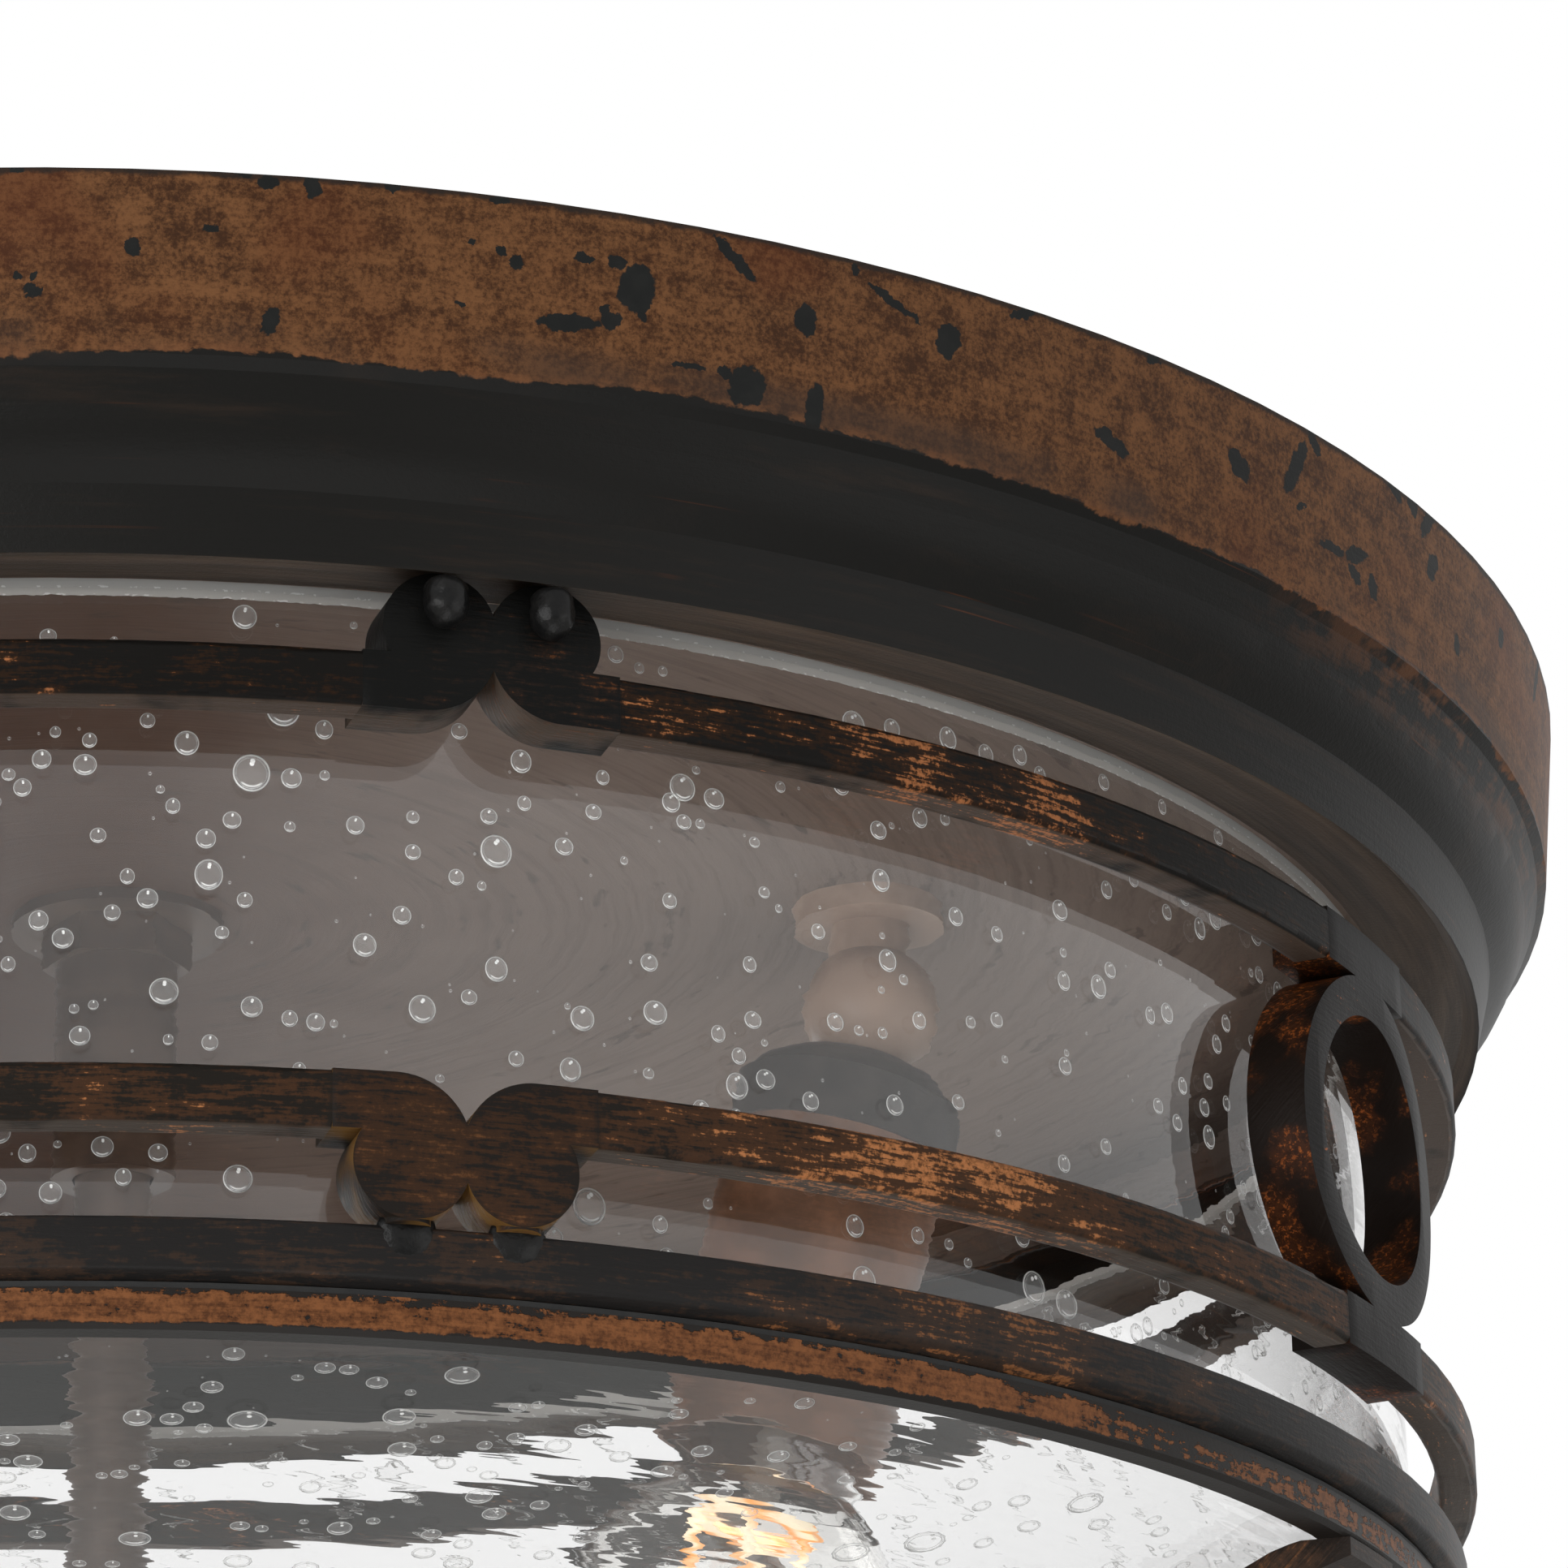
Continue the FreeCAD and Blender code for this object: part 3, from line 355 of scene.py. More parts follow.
def mask(tree, source, low, high):
    """0 where the source is at low, 1 where it is at high, and smooth between."""
    made = add(tree, "ShaderNodeMapRange", {0: source, 1: low, 2: high}, interpolation_type="SMOOTHSTEP")
    return made.outputs[0]


def mask_value(tree, share, at_none, at_full):
    """A plain number that goes from one value to another with a share."""
    return add(tree, "ShaderNodeMapRange", {0: share, 3: at_none, 4: at_full}).outputs[0]


def tint(red, green, blue):
    """A colour from its screen values, 0 to 255."""
    return (*(((c / 255 + 0.055) / 1.055) ** 2.4 if c > 10 else c / 3294 for c in (red, green, blue)), 1.0)


def mix(tree, share, under, over):
    """A colour that goes from one colour to another with a share."""
    made = add(tree, "ShaderNodeMix", {0: share, 6: under, 7: over}, data_type="RGBA")
    return made.outputs[2]


def grain(tree, where, scale, detail=3.0, rough=0.6):
    """Cloudy noise from 0 to 1."""
    made = add(tree, "ShaderNodeTexNoise", {"Vector": where, "Scale": scale, "Detail": detail, "Roughness": rough})
    return made.outputs[0]


def place_in(tree):
    """Object place, and its x, y, z and distance from the axis."""
    where = add(tree, "ShaderNodeTexCoord").outputs["Object"]
    parts = add(tree, "ShaderNodeSeparateXYZ", {0: where}).outputs
    radius = measure(tree, "LENGTH", together(tree, parts[0], parts[1]))
    return where, parts[0], parts[1], parts[2], radius


def along_the_turn(tree, along, across):
    """Coordinates that stretch a pattern round the axis, as brushing on a turned part runs."""
    _, x, y, z, radius = place_in(tree)
    level = times(tree, minus(tree, z, radius), across)
    return together(tree, times(tree, x, along), times(tree, y, along), level)


def new_finish(name):
    """A material, its node tree and its surface shader."""
    finish = bpy.data.materials.new(name)
    finish.use_nodes = True
    tree = finish.node_tree
    tree.nodes.clear()
    shader = tree.nodes.new("ShaderNodeBsdfPrincipled")
    output = tree.nodes.new("ShaderNodeOutputMaterial")
    tree.links.new(shader.outputs[0], output.inputs[0])
    return finish, tree, shader


def surface(tree, made):
    """Makes a shader node the surface of its material."""
    output = next(n for n in tree.nodes if n.type == "OUTPUT_MATERIAL")
    tree.links.new(made.outputs[0], output.inputs[0])


def blended(tree, share, under, over):
    """A shader node that goes from one shader to another with a share."""
    return add(tree, "ShaderNodeMixShader", {0: share, 1: under.outputs[0], 2: over.outputs[0]})


def seen_directly(tree):
    """1 for what the camera sees, also in gloss and through glass."""
    path = add(tree, "ShaderNodeLightPath").outputs
    return larger(tree, larger(tree, path["Is Camera Ray"], path["Is Glossy Ray"]), path["Is Transmission Ray"])


def set_gloss(shader, level):
    """How strongly a surface that isn't metal reflects, 0.5 for most."""
    shader.inputs["Specular IOR Level"].default_value = level


def bump_on(tree, shader, height, distance):
    """Raises a surface by a pattern, as far as the distance in metres where the pattern is 1."""
    made = add(tree, "ShaderNodeBump", {"Height": height, "Distance": distance, "Strength": 1.0})
    tree.links.new(made.outputs[0], shader.inputs["Normal"])


def edge_wear(tree, width):
    """1 on sharp edges, from the angle between the rounded and the real normal."""
    rounded = add(tree, "ShaderNodeBevel", {"Radius": width}, samples=4).outputs[0]
    real = add(tree, "ShaderNodeNewGeometry").outputs["Normal"]
    along = measure(tree, "DOT_PRODUCT", rounded, real)
    return mask(tree, along, 0.995, 0.86)


# Finishes


def turn_angle(tree):
    """Azimuth in degrees from the front."""
    _, x, y, _, _ = place_in(tree)
    return calc(tree, "DEGREES", calc(tree, "ARCTAN2", x, times(tree, y, -1.0)))


def rub_at(tree, azimuth, spread):
    """1 at an azimuth, repeated each quarter turn, and 0 beyond a spread in degrees."""
    near = calc(tree, "WRAP", minus(tree, turn_angle(tree), azimuth), 45.0, -45.0)
    return mask(tree, calc(tree, "ABSOLUTE", near), spread, spread * 0.35)


def side_face(tree):
    """1 on faces that look along the cage or up and down it, 0 on faces that look out or in."""
    _, x, y, _, radius = place_in(tree)
    outward = together(tree, calc(tree, "DIVIDE", x, radius), calc(tree, "DIVIDE", y, radius))
    facing = add(tree, "ShaderNodeNewGeometry").outputs["Normal"]
    along = measure(tree, "DOT_PRODUCT", facing, outward)
    return mask(tree, calc(tree, "ABSOLUTE", along), 0.6, 0.3)


def rubbed_bronze(name, paint, brown, copper, rub_low, rub_high, brown_low=None, worn=(), side=None,
                  patchy=(0.46, 0.64), flecks=0.0, edge=0.0011, gloss=0.12):
    """Near-black bronze paint, rubbed brown and copper in short level flecks, with the paint left thick at its edges.

    Copper shows from rub_low to rub_high of the rub pattern, and brown from brown_low. Each worn place is (azimuth,
    spread in degrees, strength). The sides get patches of the side colour, partly their own tone and partly painted
    light and shade for how light falls on them, as on the lit undersides of the rails, and gathered copper flecks.
    """
    finish, tree, shader = new_finish(name)
    where = place_in(tree)[0]
    fibre = grain(tree, along_the_turn(tree, 200.0, 1800.0), 1.0, 3.0, 0.6)
    cluster = grain(tree, where, 75.0, 3.0, 0.6)
    fine = grain(tree, where, 1400.0, 3.0, 0.7)
    rub = plus(tree, times(tree, fibre, 0.55), times(tree, cluster, 0.45))
    rub = plus(tree, rub, swing(tree, fine, RUB_FINENESS))
    for azimuth, spread, strength in worn:
        rub = plus(tree, rub, times(tree, rub_at(tree, azimuth, spread), strength))
    rub = minus(tree, rub, times(tree, edge_wear(tree, edge), EDGE_KEEP))
    brown_low = brown_low or rub_low - BROWN_SPAN
    copper = mix(tree, mask(tree, fine, 0.36, 0.60), (*(0.5 * c for c in copper[:3]), 1.0), copper)
    colour = mix(tree, mask(tree, rub, brown_low, brown_low + BROWN_SPAN), paint, brown)
    copper_share = mask(tree, rub, rub_low, rub_high)
    if side:
        # Side colour in patches: partly the sides' own tone, partly painted light and shade on faces that look along
        # the cage or up and down.
        side_tone_and_light = times(tree, side_face(tree), mask(tree, cluster, *patchy))
        colour = mix(tree, side_tone_and_light, colour, side)
        gathered = times(tree, mask(tree, cluster, 0.46, 0.62), side_face(tree))
        speck = mask(tree, grain(tree, where, 1500.0, 4.0, 0.75), 0.52, 0.62)
        speck = times(tree, gathered, plus(tree, times(tree, speck, 0.85), 0.12))
        colour = mix(tree, times(tree, speck, flecks), colour, copper)
    colour = mix(tree, copper_share, colour, copper)
    tree.links.new(colour, shader.inputs["Base Color"])
    tree.links.new(mask_value(tree, copper_share, 0.44, 0.36), shader.inputs["Roughness"])
    set_gloss(shader, gloss)
    bump_on(tree, shader, plus(tree, fibre, times(tree, fine, 0.5)), 0.00010)
    return finish


def chip_reach(tree, where):
    """How far a place on the band is from the nearest chip's middle, 1 at the chip's edge."""
    turn = calc(tree, "WRAP", turn_angle(tree), *CHIP_SPAN)
    _, _, _, z, _ = place_in(tree)
    level = times(tree, turn, math.radians(1) * BAND_RADIUS_MM)
    flat = together(tree, level, times(tree, z, MM_IN_METRE))
    torn = add(tree, "ShaderNodeTexNoise", {"Vector": where, "Scale": 700.0, "Detail": 3.0, "Roughness": 0.65})
    torn = vector(tree, "SUBTRACT", torn.outputs[1], (0.5, 0.5, 0.5))
    flat = vector(tree, "ADD", flat, scaled(tree, torn, CHIP_TEAR))
    nearest = None
    for azimuth, height, long, wide, lean in CHIPS:
        laid = add(
            tree, "ShaderNodeMapping",
            {
                "Vector": flat,
                "Location": (math.radians(azimuth) * BAND_RADIUS_MM, height, 0.0),
                "Rotation": (0.0, 0.0, math.radians(lean)),
                "Scale": (long, wide, CHIP_DEPTH),
            },
            vector_type="TEXTURE",
        ).outputs[0]
        reach = measure(tree, "LENGTH", laid)
        nearest = reach if nearest is None else calc(tree, "MINIMUM", nearest, reach)
    return nearest


def canopy_bronze():
    """Grainy copper-brown band with black chips and a painted highlight along its lower edge, over a near-black cove,
    and a brown underside.
    """
    finish, tree, shader = new_finish("canopy_bronze")
    where, _, _, z, radius = place_in(tree)
    streak = grain(tree, along_the_turn(tree, 30.0, 700.0), 1.0, 5.0, 0.7)
    fine = grain(tree, where, 1500.0, 3.0, 0.8)
    mottle = grain(tree, where, 260.0, 4.0, 0.65)
    cloud = grain(tree, where, 30.0, 3.0, 0.5)

    value = plus(tree, times(tree, fine, 0.45), times(tree, mottle, 0.35))
    value = plus(tree, value, times(tree, streak, 0.2))
    band = mix(tree, mask(tree, value, 0.40, 0.61), tint(64, 39, 23), tint(128, 86, 54))
    band = mix(tree, times(tree, mask(tree, cloud, 0.5, 0.68), 0.45), band, tint(92, 46, 24))
    low = times(tree, mask(tree, z, *STAIN_FALL), mask(tree, cloud, 0.56, 0.42))
    band = mix(tree, times(tree, low, 0.65), band, tint(64, 50, 42))

    ragged = grain(tree, along_the_turn(tree, 30.0, 60.0), 1.0, 2.0, 0.5)
    torn = grain(tree, along_the_turn(tree, 260.0, 520.0), 1.0, 4.0, 0.7)
    height = plus(tree, z, swing(tree, ragged, BAND_WAVE))
    height = plus(tree, height, swing(tree, torn, BAND_TEAR))
    # Painted highlight: a lighter copper line in torn patches along the band's rounded lower edge, for light caught on
    # that edge.
    painted_edge_highlight = times(tree, mask(tree, height, *EDGE_HIGHLIGHT_RISE), mask(tree, torn, 0.42, 0.6))
    band = mix(tree, times(tree, painted_edge_highlight, 0.45), band, tint(140, 92, 60))
    top_edge = mask(tree, plus(tree, z, swing(tree, torn, RIM_TEAR)), *RIM_PAINT)
    band = mix(tree, times(tree, top_edge, 0.9), band, tint(40, 34, 30))

    paint = mix(tree, times(tree, mask(tree, mottle, 0.4, 0.7), 0.5), tint(26, 27, 26), tint(40, 40, 38))
    chip = mask(tree, chip_reach(tree, where), 1.06, 0.94)
    band = mix(tree, chip, band, paint)

    worn_line = vector(tree, "MULTIPLY", where, (9.0, 9.0, 1500.0))
    line = mask(tree, grain(tree, worn_line, 1.0, 2.0, 0.5), 0.66, 0.72)
    line = times(tree, line, mask(tree, cloud, 0.5, 0.62))
    cove = mix(tree, times(tree, mask(tree, streak, 0.5, 0.78), 0.7), tint(23, 22, 20), tint(46, 36, 29))
    cove = mix(tree, times(tree, line, 0.6), cove, tint(116, 66, 38))
    smear = times(tree, rub_at(tree, 64.0, 22.0), mask(tree, z, *SMEAR_FALL))
    smeared = plus(tree, streak, minus(tree, mottle, 0.5))
    smear = times(tree, smear, mask(tree, smeared, 0.42, 0.66))
    cove = mix(tree, times(tree, smear, 0.75), cove, tint(104, 66, 40))
    under = mix(tree, mask(tree, streak, 0.35, 0.7), tint(58, 46, 36), tint(84, 68, 54))

    on_band = mask(tree, height, *BAND_END)
    colour = mix(tree, on_band, cove, band)
    inner = times(tree, mask(tree, radius, *LIP_RADII), mask(tree, z, *LIP_FALL))
    colour = mix(tree, inner, colour, under)
    tree.links.new(colour, shader.inputs["Base Color"])
    tree.links.new(mask_value(tree, on_band, 0.42, 0.52), shader.inputs["Roughness"])
    set_gloss(shader, 0.12)
    bump_on(tree, shader, plus(tree, streak, times(tree, fine, 0.5)), 0.00010)
    return finish


def door_finish():
    """Mottled copper-brown paint on the door ring, with torn black paint along both edges."""
    low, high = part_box("door_ring")
    finish, tree, shader = new_finish("door_bronze")
    where, _, _, z, _ = place_in(tree)
    fibre = grain(tree, along_the_turn(tree, 150.0, 1500.0), 1.0, 4.0, 0.65)
    fine = grain(tree, where, 1500.0, 3.0, 0.75)
    patch = grain(tree, where, 520.0, 4.0, 0.7)
    wide = grain(tree, where, 60.0, 2.0, 0.5)
    value = plus(tree, times(tree, fibre, 0.35), times(tree, fine, 0.35))
    value = plus(tree, value, times(tree, patch, 0.3))
    copper = mix(tree, mask(tree, value, 0.40, 0.60), tint(84, 50, 28), tint(142, 90, 54))
    torn = plus(tree, times(tree, patch, 0.6), times(tree, fibre, 0.4))
    torn = plus(tree, torn, swing(tree, wide, 0.30))
    torn = minus(tree, torn, times(tree, rub_at(tree, 52.0, 26.0), 0.11))
    lift = minus(tree, torn, 0.5)
    from_top = plus(tree, minus(tree, high.z, z), times(tree, lift, DOOR_TOP_TEAR))
    from_low = plus(tree, minus(tree, z, low.z), times(tree, lift, DOOR_LOW_TEAR))
    black = larger(tree, mask(tree, from_top, *DOOR_TOP_PAINT), mask(tree, from_low, *DOOR_LOW_PAINT))
    black = larger(tree, black, mask(tree, torn, 0.40, 0.37))
    colour = mix(tree, black, copper, tint(34, 30, 27))
    tree.links.new(colour, shader.inputs["Base Color"])
    tree.links.new(mask_value(tree, black, 0.45, 0.38), shader.inputs["Roughness"])
    set_gloss(shader, 0.15)
    bump_on(tree, shader, minus(tree, times(tree, fine, 0.5), black), 0.00008)
    return finish


def brown_pan():
    """Brushed brown metal of the pan above the lamps, with a painted sheen, lighter and greyer towards +X, and faint
    stains.
    """
    finish, tree, shader = new_finish("brown_pan")
    where, x, _, _, _ = place_in(tree)
    cloud = grain(tree, where, 60.0, 4.0, 0.6)
    fine = grain(tree, along_the_turn(tree, 30.0, 900.0), 1.0, 4.0, 0.7)
    stain = mask(tree, grain(tree, along_the_turn(tree, 90.0, 330.0), 1.0, 3.0, 0.6), 0.62, 0.68)
    # Painted sheen: the pan turns lighter and greyer towards +X, for the light its satin underside reflects.
    painted_sheen = mask(tree, plus(tree, x, swing(tree, cloud, PAN_CLOUDING)), *PAN_SHEEN_SPAN)
    colour = mix(tree, painted_sheen, tint(68, 42, 26), tint(122, 106, 96))
    colour = mix(tree, times(tree, mask(tree, fine, 0.42, 0.72), 0.35), colour, tint(62, 46, 36))
    colour = mix(tree, times(tree, stain, 0.45), colour, tint(50, 40, 34))
    tree.links.new(colour, shader.inputs["Base Color"])
    set_gloss(shader, 0.25)
    shader.inputs["Roughness"].default_value = 0.5
    bump_on(tree, shader, fine, 0.00006)
    return finish


def let_light_through(tree, shader):
    """Light for what is inside passes straight through, so that glass casts no dark shadow."""
    passing = add(tree, "ShaderNodeLightPath").outputs["Is Shadow Ray"]
    both = blended(tree, passing, shader, add(tree, "ShaderNodeBsdfTransparent"))
    surface(tree, both)
    return both


def drawn_lines(tree, pull):
    """A surface direction that leans to and fro round the axis in fine level lines, as in drawn glass."""
    _, x, y, _, radius = place_in(tree)
    round_axis = together(tree, calc(tree, "DIVIDE", times(tree, y, -1.0), radius), calc(tree, "DIVIDE", x, radius))
    lines = grain(tree, along_the_turn(tree, 60.0, 1000.0), 1.0, 2.0, 0.5)
    lean = swing(tree, lines, pull)
    leant = scaled(tree, round_axis, lean)
    facing = add(tree, "ShaderNodeNewGeometry").outputs["Normal"]
    return vector(tree, "NORMALIZE", vector(tree, "ADD", facing, leant))


def seeded_glass(name, ground_edge, pull):
    """Clear glass with fine drawn lines, and for the drum a frosted ground top edge with painted sparkles of light."""
    finish, tree, shader = new_finish(name)
    where, _, _, z, _ = place_in(tree)
    swell = grain(tree, along_the_turn(tree, 25.0, 90.0), 1.0, 2.0, 0.5)
    shader.inputs["Base Color"].default_value = (1.0, 1.0, 1.0, 1.0)
    shader.inputs["Transmission Weight"].default_value = 1.0
    shader.inputs["IOR"].default_value = 1.5
    shader.inputs["Roughness"].default_value = 0.0
    bent = add(tree, "ShaderNodeBump", {
        "Height": swell, "Distance": 0.00002, "Strength": 1.0, "Normal": drawn_lines(tree, pull),
    })
    tree.links.new(bent.outputs[0], shader.inputs["Normal"])
    clear = let_light_through(tree, shader)
    if ground_edge:
        rough = grain(tree, along_the_turn(tree, 600.0, 700.0), 1.0, 3.0, 0.7)
        height = plus(tree, z, swing(tree, rough, GROUND_TEAR))
        ground = mask(tree, height, *GROUND_START)
        # Painted highlight: bright sparkles in the frost stand for glints of light on the ground edge.
        painted_sparkle = mask(tree, grain(tree, where, 1100.0, 2.0, 0.6), 0.56, 0.62)
        painted_sparkle = times(tree, painted_sparkle, mask(tree, height, *PAINTED_SPARKLE_START))
        tree.links.new(mask_value(tree, ground, 0.0, 0.6), shader.inputs["Roughness"])
        frost = add(tree, "ShaderNodeBsdfPrincipled", {"Roughness": 0.6})
        tree.links.new(mix(tree, painted_sparkle, tint(196, 194, 190), tint(246, 246, 244)), frost.inputs["Base Color"])
        surface(tree, blended(tree, times(tree, ground, 0.85), clear, frost))
    return finish


def plain_metal(name, dark, light, metallic, roughness, along=60.0, across=900.0):
    """Turned or rolled metal with faint brushing and clouding."""
    finish, tree, shader = new_finish(name)
    where = place_in(tree)[0]
    brushed = grain(tree, along_the_turn(tree, along, across), 1.0, 4.0, 0.6)
    cloud = grain(tree, where, 120.0, 3.0, 0.6)
    cloudy = plus(tree, brushed, minus(tree, cloud, 0.5))
    colour = mix(tree, mask(tree, cloudy, 0.3, 0.75), dark, light)
    tree.links.new(colour, shader.inputs["Base Color"])
    tree.links.new(mask_value(tree, cloud, roughness - 0.08, roughness + 0.08), shader.inputs["Roughness"])
    shader.inputs["Metallic"].default_value = metallic
    bump_on(tree, shader, brushed, 0.00006)
    return finish


def clear_glass():
    """Thin blown glass of the bulbs, with a faint swell."""
    finish, tree, shader = new_finish("bulb_glass")
    where = place_in(tree)[0]
    swell = grain(tree, where, 90.0, 2.0, 0.5)
    shader.inputs["Base Color"].default_value = (0.99, 0.985, 0.97, 1.0)
    shader.inputs["Transmission Weight"].default_value = 1.0
    shader.inputs["IOR"].default_value = 1.48
    shader.inputs["Roughness"].default_value = 0.0
    bump_on(tree, shader, swell, 0.0001)
    let_light_through(tree, shader)
    return finish


def low_middle(node, rise):
    """The middle of a node's box, at a height above its lowest point."""
    low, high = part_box(node)
    return Vector(((low.x + high.x) / 2, (low.y + high.y) / 2, low.z + rise))


def lit_filament(number):
    """Amber strips that glow round a clear stalk, told apart by how far they are from the lamp's own axis."""
    ball = low_middle(f"socket_mount_{number}", BALL_RADIUS)
    globe = low_middle(f"bulb_glass_{number}", GLOBE_RADIUS)
    finish, tree, shader = new_finish(f"amber_filament_{number}")
    where = place_in(tree)[0]
    from_globe = vector(tree, "SUBTRACT", where, globe)
    across = vector(tree, "CROSS_PRODUCT", from_globe, (ball - globe).normalized())
    glow = mask(tree, measure(tree, "LENGTH", across), *STRIP_REACH)
    beads = grain(tree, where, 160.0, 2.0, 0.5)
    colour = mix(tree, mask(tree, beads, 0.42, 0.58), tint(238, 156, 58), tint(252, 236, 206))
    colour = mix(tree, glow, tint(226, 222, 214), colour)
    tree.links.new(colour, shader.inputs["Base Color"])
    tree.links.new(colour, shader.inputs["Emission Color"])
    tree.links.new(times(tree, glow, 0.7), shader.inputs["Emission Strength"])
    shader.inputs["Roughness"].default_value = 0.3
    clear = add(tree, "ShaderNodeBsdfTransparent")
    surface(tree, blended(tree, mask_value(tree, glow, 0.12, 1.0), clear, shader))
    return finish


def wool():
    """Pale glass wool of the insulation pad."""
    finish, tree, shader = new_finish("glass_wool")
    where = place_in(tree)[0]
    fibre = grain(tree, where, 420.0, 6.0, 0.75)
    tuft = grain(tree, where, 60.0, 3.0, 0.6)
    tufted = plus(tree, fibre, minus(tree, tuft, 0.5))
    colour = mix(tree, mask(tree, tufted, 0.3, 0.7), tint(206, 196, 158), tint(240, 234, 208))
    tree.links.new(colour, shader.inputs["Base Color"])
    shader.inputs["Roughness"].default_value = 0.95
    shader.inputs["Sheen Weight"].default_value = 0.3
    bump_on(tree, shader, fibre, 0.0012)
    return finish


def matt(name, dark, light, scale, roughness, depth, gloss=0.5):
    """Rubber, porcelain and paint with a faint mottle."""
    finish, tree, shader = new_finish(name)
    where = place_in(tree)[0]
    mottle = grain(tree, where, scale, 4.0, 0.6)
    tree.links.new(mix(tree, mask(tree, mottle, 0.35, 0.65), dark, light), shader.inputs["Base Color"])
    shader.inputs["Roughness"].default_value = roughness
    set_gloss(shader, gloss)
    bump_on(tree, shader, mottle, depth)
    return finish


def band_of(tree, source, low, high, soft):
    """1 between two values, falling to 0 over a soft width on both sides."""
    rise = mask(tree, source, low - soft, low)
    return times(tree, rise, mask(tree, source, high + soft, high))


def bubble_painted_rims():
    """A bubble in the glass: nearly clear, with a painted bright ring at its rim, brightest below, a painted crescent
    and glint of light, and a painted dark outline and inner line for the shade at its rim.
    """
    finish, tree, shader = new_finish("bubble_painted_rims")
    place = add(tree, "ShaderNodeAttribute", attribute_name="skin").outputs["Vector"]
    parts = add(tree, "ShaderNodeSeparateXYZ", {0: place}).outputs
    level = together(tree, parts[0], parts[1])
    rim = measure(tree, "LENGTH", level)
    # Painted light: the ring is brighter towards the bubble's lower side.
    below = mask(tree, parts[1], 0.1, -0.8)
    ring = times(tree, band_of(tree, rim, 0.90, 0.94, 0.035), mask_value(tree, below, 0.5, 1.0))
    # Painted light: a bright crescent inside the ring, low on the bubble.
    painted_crescent = times(tree, band_of(tree, rim, 0.72, 0.76, 0.05), mask(tree, parts[1], -0.45, -0.66))
    # Painted highlight: a small glint near the top.
    from_painted_glint = measure(tree, "DISTANCE", level, (0.04, 0.56, 0.0))
    painted_glint = mask(tree, from_painted_glint, 0.15, 0.09)
    bright = larger(tree, larger(tree, ring, painted_glint), times(tree, painted_crescent, 0.8))
    # Painted shade: a dark outline at the rim and a faint dark inner line.
    painted_inner_line = times(tree, band_of(tree, rim, 0.80, 0.81, 0.03), 0.7)
    dark = larger(tree, mask(tree, rim, 0.965, 0.985), painted_inner_line)
    shader.inputs["Roughness"].default_value = 0.15
    tree.links.new(mix(tree, dark, tint(244, 244, 242), tint(34, 32, 31)), shader.inputs["Base Color"])
    # How much of the painted ring, crescent, glint and shade shows over the clear air, with a faint painted haze all
    # over.
    skin = plus(tree, larger(tree, bright, times(tree, dark, 0.75)), 0.06)
    clear = add(tree, "ShaderNodeBsdfTransparent")
    passing = add(tree, "ShaderNodeLightPath").outputs["Is Shadow Ray"]
    surface(tree, blended(tree, passing, blended(tree, skin, clear, shader), clear))
    return finish


def dress(finish, *names):
    """Gives a finish to CAD nodes, by the starts of their names."""
    for name, piece in nodes.items():
        if name.startswith(names):
            for slot in piece.material_slots:
                slot.material = finish


# Modelled pieces


def pick_only(piece):
    """Makes a piece the only selected one and the active one."""
    bpy.ops.object.select_all(action="DESELECT")
    piece.select_set(True)
    bpy.context.view_layer.objects.active = piece


def unit_ball(around, rings):
    """A ball of 1 m half width at the middle of the scene."""
    bpy.ops.object.select_all(action="DESELECT")
    bpy.ops.mesh.primitive_uv_sphere_add(segments=around, ring_count=rings, radius=1.0, location=(0, 0, 0))
    return bpy.context.object


def finished(piece, name, body, finish):
    """Names a piece, gives it its finish and its body."""
    piece.name = name
    piece.data.name = name
    piece.data.materials.clear()
    piece.data.materials.append(finish)
    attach(piece, body)
    return piece


def softened_casting(node, finish):
    """A casting with merged faces and rolled edges, in place of its plain solid."""
    casting = nodes[node].copy()
    casting.data = nodes[node].data.copy()
    casting.parent = None
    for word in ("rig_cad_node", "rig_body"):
        del casting[word]
    bpy.context.scene.collection.objects.link(casting)
    pick_only(casting)
    bpy.ops.object.mode_set(mode="EDIT")
    bpy.ops.mesh.select_all(action="SELECT")
    bpy.ops.mesh.remove_doubles(threshold=MERGE_GAP)
    bpy.ops.mesh.normals_make_consistent(inside=False)
    bpy.ops.object.mode_set(mode="OBJECT")
    bpy.ops.mesh.customdata_custom_splitnormals_clear()
    rolled = casting.modifiers.new("rolled_edges", "BEVEL")
    rolled.width = ROLLED_EDGE
    rolled.segments = ROLL_STEPS
    rolled.limit_method = "ANGLE"
    rolled.angle_limit = math.radians(ROLL_ANGLE)
    rolled.use_clamp_overlap = True
    bpy.ops.object.modifier_apply(modifier="rolled_edges")
    bpy.ops.object.shade_smooth_by_angle(angle=math.radians(SMOOTH_ANGLE))
    finished(casting, node + "_cast", "fixture", finish)
    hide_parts(node)


